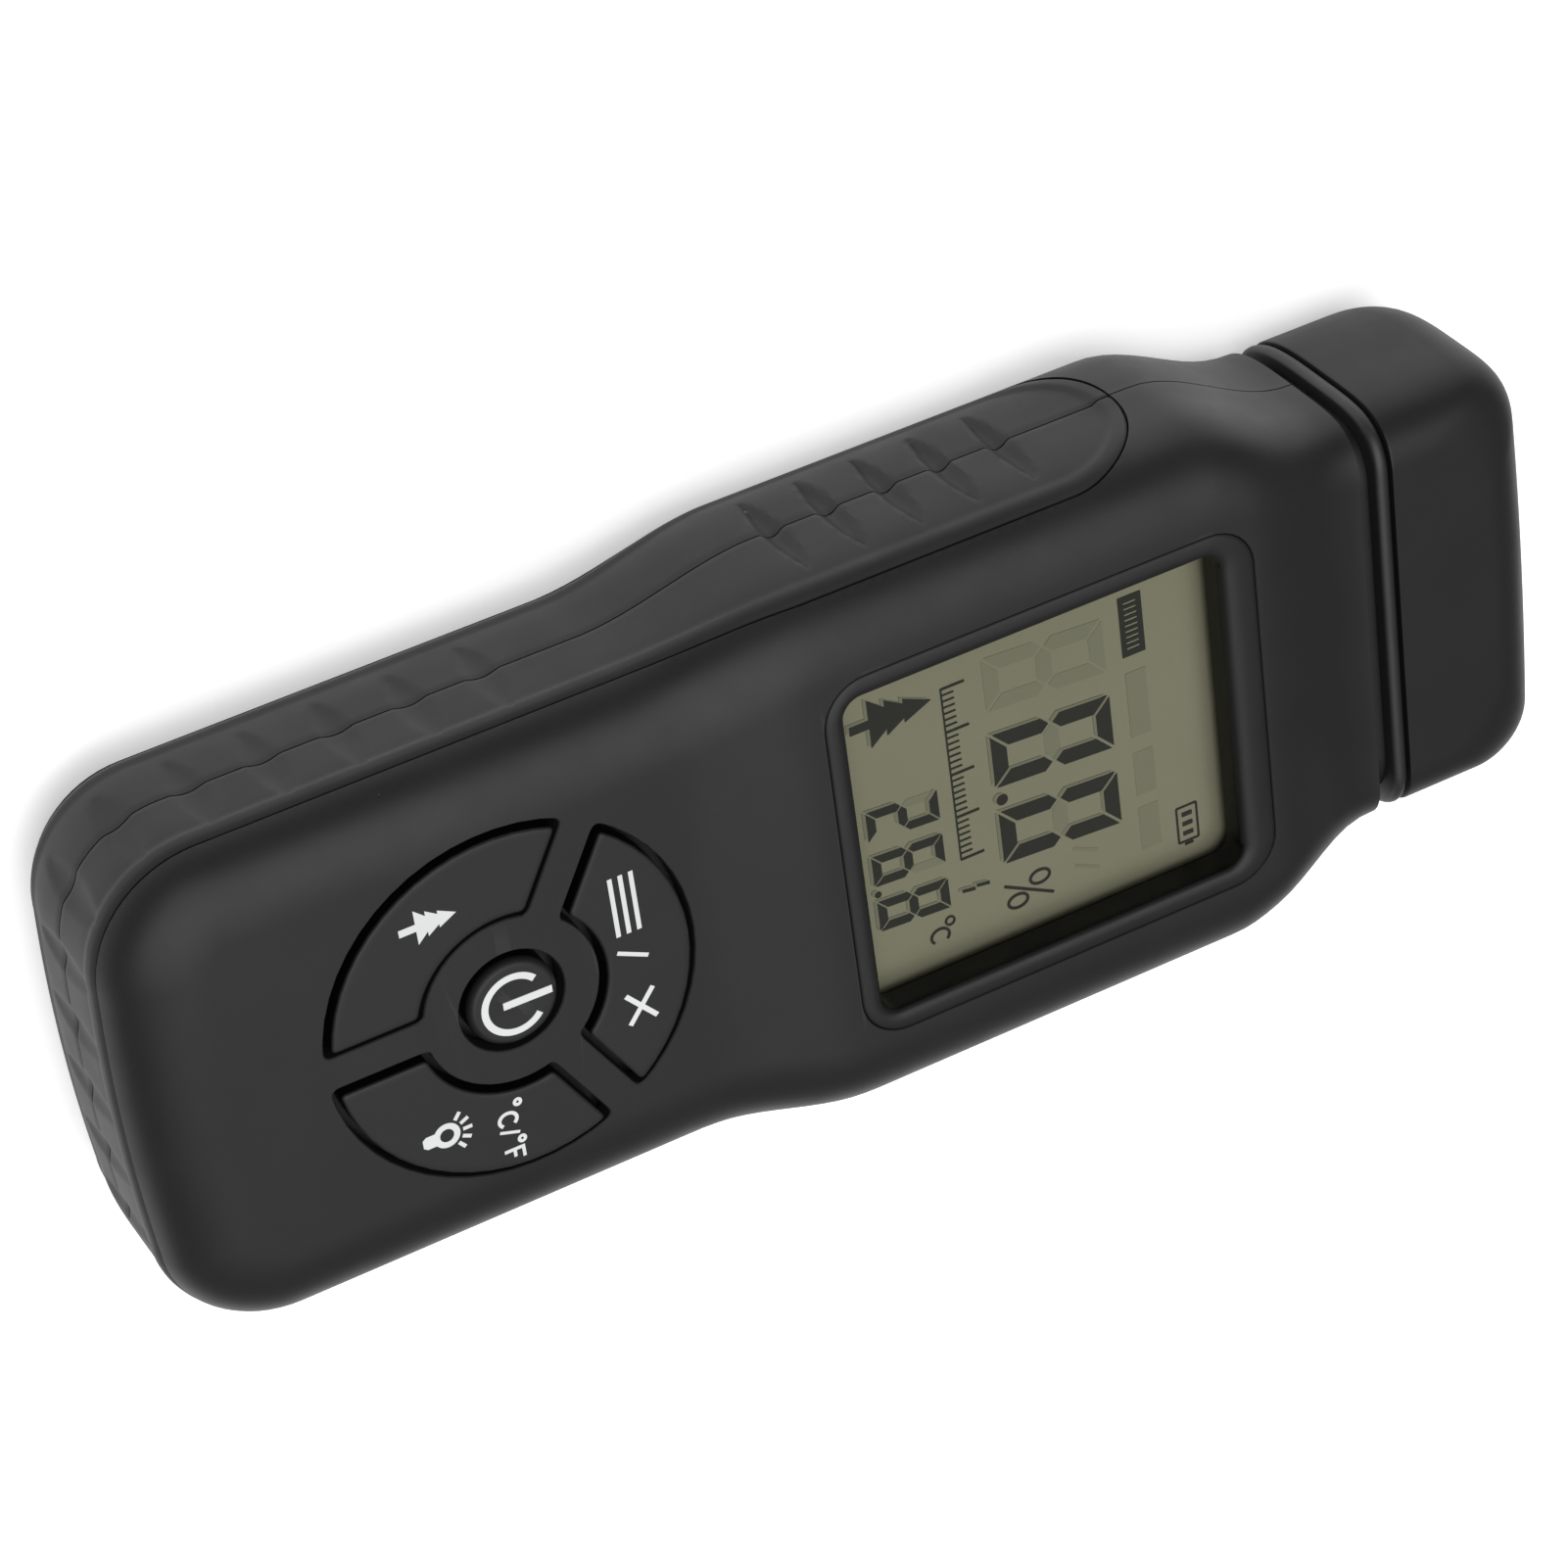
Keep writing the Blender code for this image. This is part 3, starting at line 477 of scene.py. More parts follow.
def surface(name, colour, roughness, metallic=0.0, variation=0.07, spread=0.03, grain=5200.0,
            depth=0.00002, strength=0.35, specular=0.5, dust=0.0, wear=0.0):
    """Moulded or worked surface: mottled colour and gloss, fine grain, and optional dust and rubbed edges."""
    material = bpy.data.materials.new(name)
    tree, nodes, links = nodes_of(material)
    shader = nodes["Principled BSDF"]
    coordinates = nodes.new("ShaderNodeTexCoord").outputs["Object"]
    broad = noise(tree, coordinates, 38.0, 4.0)
    mottle = ranged(tree, broad, 0.0, 1.0)
    darker = tuple(c * (1 - variation) for c in colour)
    lighter = tuple(min(1.0, c * (1 + variation)) for c in colour)
    tint = blended(tree, mottle, darker, lighter)
    fine = noise(tree, coordinates, grain, 2.0)
    gloss = noise(tree, coordinates, 160.0, 3.0)
    if wear:
        pointed = nodes.new("ShaderNodeNewGeometry").outputs["Pointiness"]
        rubbed = ranged(tree, pointed, 0.0, wear, at=(0.53, 0.62))
        tint = blended(tree, rubbed, tint, tuple(min(1.0, c * 2.4 + 0.01) for c in colour))
    if dust:
        specks = nodes.new("ShaderNodeTexVoronoi")
        specks.inputs["Scale"].default_value = 260.0
        links.new(coordinates, specks.inputs["Vector"])
        near = ranged(tree, specks.outputs["Distance"], 1.0, 0.0, at=(0.02, 0.05))
        pick = nodes.new("ShaderNodeSeparateColor")
        links.new(specks.outputs["Color"], pick.inputs["Color"])
        chosen = ranged(tree, pick.outputs["Red"], 0.0, dust, at=(0.975, 0.985))
        tint = blended(tree, multiplied(tree, near, chosen), tint, (0.35, 0.34, 0.32))
    links.new(tint, shader.inputs["Base Color"])
    shine = ranged(tree, gloss, roughness - spread, min(1.0, roughness + spread))
    links.new(shine, shader.inputs["Roughness"])
    links.new(bumped(tree, fine, strength, depth), shader.inputs["Normal"])
    shader.inputs["Metallic"].default_value = metallic
    shader.inputs["Specular IOR Level"].default_value = specular
    return material


def clear_pane(name):
    """Thin clear plastic: mostly see-through, with a sharp sheen that grows at a slant."""
    material = bpy.data.materials.new(name)
    tree, nodes, links = nodes_of(material)
    nodes.remove(nodes["Principled BSDF"])
    coordinates = nodes.new("ShaderNodeTexCoord").outputs["Object"]
    through = nodes.new("ShaderNodeBsdfTransparent")
    sheen = nodes.new("ShaderNodeBsdfGlossy")
    links.new(ranged(tree, noise(tree, coordinates, 90.0), 0.02, 0.05), sheen.inputs["Roughness"])
    smudge = bumped(tree, noise(tree, coordinates, 60.0), 0.05, 0.00002)
    links.new(smudge, sheen.inputs["Normal"])
    tint = ranged(tree, noise(tree, coordinates, 30.0), 0.0, 1.0)
    links.new(blended(tree, tint, (0.97, 0.98, 0.96), (0.99, 0.99, 0.98)), through.inputs["Color"])
    fresnel = nodes.new("ShaderNodeFresnel")
    fresnel.inputs["IOR"].default_value = 1.25
    outside = ranged(tree, nodes.new("ShaderNodeNewGeometry").outputs["Backfacing"], 1.0, 0.0)
    mixer = nodes.new("ShaderNodeMixShader")
    links.new(multiplied(tree, fresnel.outputs["Fac"], outside), mixer.inputs["Fac"])
    links.new(through.outputs["BSDF"], mixer.inputs[1])
    links.new(sheen.outputs["BSDF"], mixer.inputs[2])
    links.new(mixer.outputs["Shader"], nodes["Material Output"].inputs["Surface"])
    return material


# Name, colour, roughness and whatever differs from an ordinary plastic.
SURFACES = (
    ("case_plastic", (0.0115, 0.0115, 0.0117), 0.47, dict(specular=0.3, dust=0.8, wear=0.35)),
    ("grip_rubber", (0.0135, 0.0132, 0.0133), 0.54, dict(specular=0.32, grain=4200.0, dust=0.7, wear=0.3)),
    ("cap_plastic", (0.0125, 0.0125, 0.0127), 0.48, dict(specular=0.24, dust=0.5, wear=0.35)),
    ("ring_rubber", (0.012, 0.012, 0.012), 0.5, {}),
    ("bezel_plastic", (0.0105, 0.0105, 0.0107), 0.46, dict(specular=0.3, dust=0.6, wear=0.3)),
    ("key_rubber", (0.0115, 0.0115, 0.0117), 0.52, dict(specular=0.34, grain=4600.0, dust=0.6, wear=0.5)),
    ("silicone_rubber", (0.30, 0.31, 0.32), 0.55, dict(grain=2600.0)),
    ("lcd_glass", (0.187, 0.182, 0.131), 0.6, dict(variation=0.03, strength=0.02, specular=0.1)),
    ("diffuser_plastic", (0.85, 0.86, 0.82), 0.4, dict(variation=0.03)),
    ("holder_plastic", (0.03, 0.03, 0.03), 0.5, {}),
    ("zebra_rubber", (0.10, 0.10, 0.11), 0.7, dict(variation=0.4)),
    ("led_body", (0.9, 0.85, 0.55), 0.3, dict(variation=0.04)),
    ("board_laminate", (0.02, 0.14, 0.05), 0.38, dict(variation=0.2, grain=1400.0)),
    ("chip_resin", (0.02, 0.02, 0.02), 0.5, dict(grain=3500.0)),
    ("crystal_can", (0.7, 0.7, 0.7), 0.25, dict(metallic=1.0, grain=1500.0, strength=0.15)),
    ("buzzer_plastic", (0.02, 0.02, 0.02), 0.4, {}),
    ("capacitor_sleeve", (0.03, 0.06, 0.2), 0.35, {}),
    ("battery_can", (0.06, 0.062, 0.068), 0.34, dict(metallic=0.3, grain=1800.0, wear=0.4)),
    ("plated_steel", (0.62, 0.62, 0.63), 0.24,
     dict(metallic=1.0, variation=0.08, grain=2600.0, strength=0.15)),
    ("snap_vinyl", (0.03, 0.03, 0.03), 0.6, {}),
    ("red_insulation", (0.5, 0.02, 0.02), 0.42, {}),
    ("black_insulation", (0.02, 0.02, 0.02), 0.42, {}),
    ("battery_foam", (0.08, 0.08, 0.09), 0.9,
     dict(variation=0.3, grain=1500.0, strength=0.9, depth=0.0002)),
    ("nose_plastic", (0.03, 0.03, 0.031), 0.48, {}),
    ("socket_brass", (0.72, 0.52, 0.2), 0.26, dict(metallic=1.0, variation=0.08, strength=0.15)),
    ("white_insulation", (0.75, 0.75, 0.72), 0.42, dict(variation=0.05)),
    # Near-black painted shade for the display opening's inner wall and the keys' sides down in their gaps.
    ("painted_shade_black", (0.003, 0.003, 0.003), 0.35, dict(specular=0.25)),
    ("key_print", (0.72, 0.73, 0.73), 0.5, dict(variation=0.06, grain=3000.0)),
    ("lcd_segment", (0.024, 0.025, 0.022), 0.6, dict(variation=0.06, strength=0.02, specular=0.1)),
    ("lcd_shadow", (0.150, 0.146, 0.106), 0.6, dict(variation=0.02, strength=0.02, specular=0.1)),
    ("lcd_ghost", (0.165, 0.161, 0.117), 0.6, dict(variation=0.02, strength=0.02, specular=0.1)),
)

MATERIALS = {name: surface(name, colour, roughness, **other) for name, colour, roughness, other in SURFACES}
MATERIALS["window_plastic"] = clear_pane("window_plastic")


# ---- case

def spigot_drop(y):
    """How far the spigot that carries the cap lies below the neck's surface."""
    return SPIGOT_INSET if y > NECK_END else 0.0


def shell_half(name, side):
    """Outer half of the case with its spigot, still solid."""
    def inset(y, t):
        return edge_inset(y, t, side)

    def height(y, t):
        return PARTING + side * (SEAM + t * (half_span(y, side) - SEAM - spigot_drop(y)))

    spigot_half = NECK_HALF - SPIGOT_INSET
    spigot = [(NECK_HALF - 0.15, NECK_END + 0.001, 1.0, 0.0), (spigot_half, NECK_END + 0.002, 1.0, 0.0),
              (spigot_half, SPIGOT_END - 0.4, 1.0, 0.0), (spigot_half - 0.3, SPIGOT_END, 1.0, 0.0)]
    outline = body_outline(NECK_END) + spigot
    return contour_stack(name, outline, edge_levels(side), inset, height, flat_margin=0.8)


def cavity(side):
    """Hollow of one half; it runs past the parting plane."""
    def inset(y, t):
        return SIDE_WALL + 0.6 * edge_inset(y, t, side)

    def height(y, t):
        return PARTING - side + side * t * (half_span(y, side) - FACE_WALL + 1.0)

    outline = body_outline(NECK_END - FACE_WALL, 4.0)
    return contour_stack("cavity", outline, (0.0, 0.6, 0.85, 0.96, 1.0), inset, height)


def nose_room():
    return [box("chamber", (-20, 20), (54, SPIGOT_END - CAP_WALL), (4.4, 23.2)),
            box("nose_opening", (-17.3, 17.3), (SPIGOT_END - 4, SPIGOT_END + 2), (5.7, 22.3))]


def post(position, radius, z_low, z_high):
    return turned("post", [(radius, z_low), (radius, z_high)], (*position, 0), segments=28)


def grip_edge(y, side):
    edges = GRIP_EDGE_FRONT if side > 0 else GRIP_EDGE_REAR
    return abs(mix(edges[0], edges[1], ease(y, FLARE)) - PARTING)


def tongue_share(y):
    """Height of the grip's band against its full height, rounded off at the tongue's end."""
    if y <= TONGUE_START:
        return 1.0
    return sqrt(max(0.0, 1 - ((y - TONGUE_START) / (TONGUE_END - TONGUE_START)) ** 2))


def grip_stations():
    """Plan outline of the band with arc length from the middle of the end wall."""
    outline = body_outline(TONGUE_START, 0.4, 45)[:-1]
    tip = []
    for i in range(31):
        y = TONGUE_START + (TONGUE_END - 0.01 - TONGUE_START) * sin(radians(90 * i / 30))
        tip.append((half_width(y), y))
    start = [(x, y) for x, y, nx, ny in outline]
    outline = with_normals(start + tip)
    length = 0.0
    result = []
    for i, (x, y, nx, ny) in enumerate(outline):
        if i:
            length += (Vector((x, y)) - Vector(outline[i - 1][:2])).length
        result.append((x, y, nx, ny, length))
    return [(-x, y, -nx, ny, s) for x, y, nx, ny, s in result[:0:-1]] + result


def lens(offset, height, reach, half, depth):
    """Depth of a hollow that is pointed at both ends."""
    along = height / reach
    if abs(along) >= 1:
        return 0.0
    width = half * (1 - along * along) ** 0.75
    across = abs(offset) / max(width, 0.001)
    return depth * (1 - along * along) ** 0.5 * (1 - across * across) ** 1.3 if across < 1 else 0.0


HEAD_RIBS = (-0.8, 5.5, 12.0, 18.3, 24.9)
RIB_MIDDLE = 15.3
HANDLE_RIB_PITCH = 7.79
HANDLE_RIBS = 9
# Half length, half width and depth of one hollow.
HEAD_RIB = (7.6, 1.35, 0.75)
HANDLE_RIB = (6.6, 1.9, 0.42)


def rib_depth(y, z, length):
    total = sum(lens(y - at, z - RIB_MIDDLE, *HEAD_RIB) for at in HEAD_RIBS)
    nearest = round(length / HANDLE_RIB_PITCH)
    if nearest <= HANDLE_RIBS:
        total += lens(length - nearest * HANDLE_RIB_PITCH, z - RIB_MIDDLE, *HANDLE_RIB)
    return total


def lip_depth(distance):
    """The band is sunk a little below the lip along its edge."""
    return LIP_DEPTH * ease(distance, LIP_EDGE)


def band(name, side, skin_depths, rise=0.0, drop=0.0, detailed=False):
    """Band round the handle and sides, between two depths below the case's surface."""
    rings = []
    shares = [i / 22 for i in range(23)] if detailed else [i / 10 for i in range(11)]
    for x, y, nx, ny, length in grip_stations():
        full = grip_edge(y, side)
        edge = full * tongue_share(y)
        near = SEAM - drop
        heights = [mix(near, edge + rise, share) for share in shares]
        outer, inner = [], []
        for h in heights:
            lean = edge_inset(y, min(0.995, max(0.0, h) / half_span(y, side)), side)
            z = PARTING + side * h
            extra = 0.0
            if detailed:
                tip = max(0.0, y - TONGUE_START) / (TONGUE_END - TONGUE_START)
                rim = (1 - sqrt((h / full) ** 2 + tip ** 2)) * mix(full, 11.0, min(1.0, tip))
                extra = lip_depth(rim) + rib_depth(y, z, length) + 0.22 * (1 - ease(rim, (-0.02, 0.35)))
                extra += 0.12 * (1 - ease(h, (SEAM, SEAM + 0.25)))
            near_face, far_face = lean + skin_depths[0] + extra, lean + skin_depths[1]
            outer.append((x - nx * near_face, y - ny * near_face, z))
            inner.append((x - nx * far_face, y - ny * far_face, z))
        rings.append(outer + inner[::-1])
    return tube(name, rings)


def chamfered_cutter(outline_at, z_low, z_top, chamfer):
    """Prism that opens out at the surface so that the hole's edge is broken."""
    levels = ((0.0, z_low), (0.0, z_top - chamfer), (chamfer * 2, z_top + chamfer))
    return tube("cutter", [level(outline_at(grow), z) for grow, z in levels], smooth=False)


def power_circle(radius, segments=56):
    return [(radius * cos(2 * pi * i / segments), KEY_CENTRE_Y + radius * sin(2 * pi * i / segments))
            for i in range(segments)]


def keypad_cutters():
    def sector(angle):
        return lambda grow: sector_outline(angle, KEYPAD_RADIUS + grow, KEY_INNER_RADIUS - grow,
                                           KEY_RIB_HALF - grow, 1.1 + grow)

    low = HANDLE_FACE - 4
    cutters = [chamfered_cutter(sector(angle), low, HANDLE_FACE, 0.12) for angle in SECTOR_ANGLES.values()]
    cutters.append(chamfered_cutter(lambda grow: power_circle(POWER_RADIUS + grow), low, HANDLE_FACE, 0.12))
    return cutters


def roof_height(y):
    return face_height(y) - FACE_WALL


def hollow_half(name, side):
    """One half of the case with its hollow, room for the probe and a recess for the grip."""
    recess = band("recess", side, (-2.0, GRIP_THICKNESS + 0.3), rise=GRIP_SEAM, drop=1.0)
    return cut(shell_half(name, side), cavity(side), *nose_room(), recess)


def build_front_case():
    shell = hollow_half("case_front", 1)
    for position in CASE_SCREWS:
        add(shell, post(position, 3.2, PARTING + SEAM, roof_height(position[1]) + 0.9))
        cut(shell, post(position, PILOT_RADIUS, PARTING - 1, PARTING + 7))
    cut(shell, *keypad_cutters())
    half, low, high, radius = BEZEL_OUTER

    def bezel_hole(grow):
        g = SEAM + grow
        return rounded_rectangle(half + g, low - g, high + g, radius + g)

    cut(shell, chamfered_cutter(bezel_hole, HEAD_FACE - 6, HEAD_FACE, 0.1))
    dress(tidy(shell), "case_plastic", "case", "front_shell")


def build_rear_case():
    shell = hollow_half("case_rear", -1)
    outer = BAY_HALF + 1.25
    add(shell, box("bay", (-outer, outer), (BAY_Y[0] - 0.8, BAY_Y[1] + 1.1), (1.5, BAY_ROOF[1])))
    cut(shell, box("bay_inside", (-BAY_HALF, BAY_HALF), BAY_Y, (FACE_WALL, BAY_ROOF[0])))
    gap = 0.2
    opening = rounded_rectangle(DOOR_HALF + gap, DOOR_Y[0] - gap, DOOR_Y[1] + gap, 0.6, steps=4)
    cut(shell, prism("door_opening", opening, -1, FACE_WALL + 0.5))
    cut(shell, box("lead_slot", (-5, 5), (BAY_Y[1] - 1, BAY_Y[1] + 2), (10.2, 13.8)))
    for position in CASE_SCREWS:
        add(shell, post(position, 3.6, 1.5, PARTING - SEAM))
        sink = turned("sink", [(3.0, -1), (3.0, 0.0), (2.6, 0.4), (2.6, 6)], (*position, 0))
        cut(shell, sink, post(position, PILOT_RADIUS, 5, PARTING + 1))
    dress(tidy(shell), "case_plastic", "case", "rear_shell")


def build_grips():
    for side, name in ((1, "front_grip"), (-1, "rear_grip")):
        skin = band(f"{name}_skin", side, (0.0, GRIP_THICKNESS), detailed=True)
        dress(skin, "grip_rubber", "case", name)


def cap_stack(name, start, wall=0.0, rim=0.0):
    """The cap's outer shape in one solid, drawn in by a wall's thickness; rim breaks the open edge."""
    margin = 0.6
    rings = []
    for t, extra in [(-1.0, margin)] + [(t, 0.0) for t in all_levels()] + [(1.0, margin)]:
        z = PARTING + t * (half_span(SHOULDER[1], t) - wall)
        outline = cap_outline(start + rim, t, wall + extra)
        if rim:
            x = outline[-1][0]
            outline += [(x - rim * 0.3, start + rim * 0.3), (x - rim, start)]
        rings.append(mirrored(level(outline, z)))
    return closed_stack(name, rings)


def build_cap():
    cap = cap_stack("cap_shell", CAP_START, rim=0.25)
    cut(cap, cap_stack("cap_hollow", CAP_START - 3, wall=CAP_WALL))
    dress(tidy(cap), "cap_plastic", "cap", "protective_cap")


def neck_loop(inset, y):
    """Ring of points round the neck's section at one y, drawn in by inset."""
    right = [(NECK_HALF - inset - edge_inset(SHOULDER[1], abs(t), t), y,
              PARTING + t * (half_span(SHOULDER[1], t) - inset)) for t in all_levels()]
    return right + [(-x, y, z) for x, y, z in right[::-1]]


def build_ring():
    """Gasket round the spigot, with a rounded bead."""
    low, high = RING_Y
    middle, half = (low + high) / 2, (high - low) / 2
    profile = [(SPIGOT_INSET - 0.1, low)]
    for step in range(9):
        angle = radians(-90 + 180 * step / 8)
        profile.append((0.05 + 0.5 * (1 - cos(angle)), middle + half * sin(angle)))
    profile.append((SPIGOT_INSET - 0.1, high))
    ring = tube("collar_bead", [neck_loop(inset, y) for inset, y in profile], looped=True)
    dress(ring, "ring_rubber", "case", "collar_ring")


# ---- display

def bezel_loop(share, z):
    """Loop between the bezel's outer edge (0) and its opening (1)."""
    return level(rounded_rectangle(*(mix(a, b, share) for a, b in zip(BEZEL_OUTER, BEZEL_INNER))), z)


def build_bezel():
    half, low, high, radius = BEZEL_OUTER
    wide = BEZEL_FLANGE
    flange = rounded_rectangle(half + wide, low - wide, high + wide, radius + wide)
    under, over = BEZEL_FLANGE_Z
    top = HEAD_FACE
    profile = ((0.0, over), (0.0, top - 0.12), (0.04, top - 0.02), (0.12, top + 0.04), (0.5, top + 0.10),
               (0.74, top + 0.04), (0.87, top - 0.14), (0.95, top - 0.42), (0.99, top - 0.8),
               (1.0, top - 1.2), (1.0, under))
    loops = [bezel_loop(share, z) for share, z in profile]
    loops += [level(flange, under), level(flange, over)]
    ring = tube("bezel_frame", loops, looped=True)
    dress(ring, "bezel_plastic", "case", "lcd_bezel")
    half_x, low, high = BEZEL_INNER[0] + 0.1, BEZEL_INNER[1] - 0.1, BEZEL_INNER[2] + 0.1
    # Painted shade: the opening's inner wall below the land is coloured near-black.
    paint_shade(ring, "painted_shade_black", lambda c: c.z < top - 0.6 and abs(c.x) < half_x and low < c.y < high)


def slab(name, half, y_low, y_high, z_low, z_high, corner, edge):
    """Flat plate with rounded corners and broken edges."""
    levels = ((edge, z_low), (0.0, z_low + edge), (0.0, z_high - edge), (edge, z_high))
    rings = [level(rounded_rectangle(half - d, y_low + d, y_high - d, corner, 4), z) for d, z in levels]
    return tube(name, rings)


def build_display():
    build_bezel()
    dress(slab("window_pane", 20.6, -4.2, 42.6, 25.0, 25.8, 0.6, 0.1), "window_plastic", "case", "lcd_window")
    dress(slab("lcd_cell", 20.4, -4.0, 42.4, 22.5, PANEL_TOP, 0.4, 0.15), "lcd_glass", "case", "lcd_panel")
    outer = rounded_rectangle(22.3, -5.9, 44.3, 1.5)
    inner = rounded_rectangle(20.9, -4.5, 42.9, 0.3)
    low, high = 18.9, 25.8
    rings = [level(outer, low), level(outer, high), level(inner, high), level(inner, low)]
    dress(tube("lcd_frame", rings, looped=True, smooth=False), "holder_plastic", "case", "lcd_holder")


# ---- marks

def add_plate(bm, outline, z):
    """Adds a closed flat shape between two heights."""
    skin_into(bm, [level(outline, z[0]), level(outline, z[1])])


def add_stroke(bm, points, width, z, closed=False):
    """Adds a flat line of one width along points."""
    rings = []
    count = len(points)
    for i, (x, y) in enumerate(points):
        before = points[(i - 1) % count] if closed or i else points[i]
        after = points[(i + 1) % count] if closed or i < count - 1 else points[i]
        run = Vector((after[0] - before[0], after[1] - before[1])).normalized()
        dx, dy = -run.y * width / 2, run.x * width / 2
        left, right = (x + dx, y + dy), (x - dx, y - dy)
        rings.append([(*left, z[0]), (*right, z[0]), (*right, z[1]), (*left, z[1])])
    skin_into(bm, rings, looped=closed)


def arc(centre, radius, start, end, steps=24, squeeze=1.0):
    """Points along an arc, in degrees; squeeze narrows it in X."""
    points = []
    for i in range(steps + 1):
        angle = radians(mix(start, end, i / steps))
        points.append((centre[0] + squeeze * radius * cos(angle), centre[1] + radius * sin(angle)))
    return points


def ring_of(centre, radius, steps=28, squeeze=1.0):
    return arc(centre, radius, 0, 360, steps, squeeze)[:-1]


def fir_tree(centre_x, base, height, width, trunk_half, trunk_length):
    """Outline of a stepped fir tree; its trunk hangs below the base."""
    tiers = ((1.0, 0.0), (0.46, 0.27), (0.74, 0.27), (0.30, 0.56), (0.50, 0.56), (0.0, 1.0))
    right = [(trunk_half, base - trunk_length), (trunk_half, base)]
    right += [(half * width / 2, base + rise * height) for half, rise in tiers]
    left = [(-x, y) for x, y in reversed(right[:-1])]
    return [(centre_x + x, y) for x, y in right + left]


SEGMENTS = {"0": "abcdef", "1": "bc", "2": "abged", "6": "afgedc", "8": "abcdefg"}


def segment_shapes(w, h, s, g):
    """The seven bars of a digit, as outlines in a box of width w and height h."""
    m = h / 2
    upper_left = [(0, h - g), (s, h - s - g), (s, m + s / 2 + g), (s / 2, m + g), (0, m + s / 2 + g)]
    lower_left = [(x, h - y) for x, y in upper_left]
    top = [(g, h), (w - g, h), (w - s - g, h - s), (s + g, h - s)]
    middle = [(s / 2 + g, m), (s + g, m + s / 2), (w - s - g, m + s / 2), (w - s / 2 - g, m),
              (w - s - g, m - s / 2), (s + g, m - s / 2)]
    return {"a": top, "d": [(x, h - y) for x, y in top], "g": middle, "f": upper_left, "e": lower_left,
            "b": [(w - x, y) for x, y in upper_left], "c": [(w - x, y) for x, y in lower_left]}


def add_digit(bm, bars, corner, size, z, shift=(0.0, 0.0)):
    """One slanted seven-bar digit; size is width, height, bar width and slant."""
    w, h, s, slant = size
    shapes = segment_shapes(w, h, s, 0.14 * s)
    for bar in bars:
        outline = [(corner[0] + x + slant * y / h + shift[0], corner[1] + y + shift[1])
                   for x, y in shapes[bar]]
        add_plate(bm, outline, z)


BIG = (6.5, 14.0, 1.75, 0.9)
SMALL = (3.7, 8.2, 1.0, 0.55)
BIG_BASE = 15.3
SMALL_BASE = 0.5
BIG_DIGITS = ((-5.3, "0"), (4.2, "0"))
SMALL_DIGITS = ((-2.2, "2"), (3.3, "6"), (8.9, "8"))


def add_reading(bm, z, shift=(0.0, 0.0)):
    dx, dy = shift
    for x, figure in BIG_DIGITS:
        add_digit(bm, SEGMENTS[figure], (x, BIG_BASE), BIG, z, shift)
    for x, figure in SMALL_DIGITS:
        add_digit(bm, SEGMENTS[figure], (x, SMALL_BASE), SMALL, z, shift)
    add_plate(bm, ring_of((2.85 + dx, 15.9 + dy), 0.65), z)
    add_plate(bm, ring_of((8.05 + dx, 0.75 + dy), 0.38), z)
    add_plate(bm, fir_tree(-12.35 + dx, 2.2 + dy, 7.1, 5.7, 0.52, 2.2), z)
    for y in (10.2, 11.9):
        low, high = y + dy, y + 1.5 + dy
        add_plate(bm, [(11.7 + dx, low), (12.1 + dx, low), (12.35 + dx, high), (11.95 + dx, high)], z)


def add_units(bm, z):
    add_stroke(bm, ring_of((14.0, 19.2), 1.15, squeeze=0.7), 0.32, z, closed=True)
    add_stroke(bm, ring_of((15.9, 16.4), 1.15, squeeze=0.7), 0.32, z, closed=True)
    add_stroke(bm, [(13.5, 15.0), (16.6, 20.6)], 0.32, z)
    add_stroke(bm, ring_of((14.8, 8.4), 0.5), 0.24, z, closed=True)
    add_stroke(bm, arc((16.2, 7.1), 1.05, 45, 315, squeeze=0.85), 0.3, z)


def add_graduation(bm, z):
    """A plain graduated scale under the main figures."""
    start, end, count = -13.0, 8.0, 29
    for i in range(count):
        x = mix(start, end, i / (count - 1))
        long = i % 7 == 0
        add_stroke(bm, [(x, 10.6), (x, 13.2 if long else 11.9)], 0.26 if long else 0.18, z)
    add_stroke(bm, [(start - 0.1, 10.5), (end + 0.1, 10.5)], 0.18, z)


def add_battery_sign(bm, z):
    outline = [(12.9, 35.8), (17.3, 35.8), (17.3, 38.2), (12.9, 38.2)]
    for a, b in zip(outline, outline[1:] + outline[:1]):
        add_stroke(bm, [a, b], 0.22, z)
    add_stroke(bm, [(17.65, 36.5), (17.65, 37.5)], 0.3, z)
    for x in (13.9, 15.1, 16.3):
        add_plate(bm, [(x - 0.25, 36.4), (x + 0.25, 36.4), (x + 0.25, 37.6), (x - 0.25, 37.6)], z)


def add_frame_label(bm, z):
    """Dark label with a light trace in it, made of the label's parts round the trace."""
    left, right, low, high = -15.2, -8.0, 31.3, 34.0
    marks = [left + 0.9 + 0.68 * i for i in range(9)]
    add_plate(bm, [(left, low), (right, low), (right, low + 0.6), (left, low + 0.6)], z)
    add_plate(bm, [(left, high - 0.6), (right, high - 0.6), (right, high), (left, high)], z)
    edges = [left] + [edge for x in marks for edge in (x - 0.13, x + 0.13)] + [right]
    for a, b in zip(edges[::2], edges[1::2]):
        add_plate(bm, [(a, low + 0.6), (b, low + 0.6), (b, high - 0.6), (a, high - 0.6)], z)


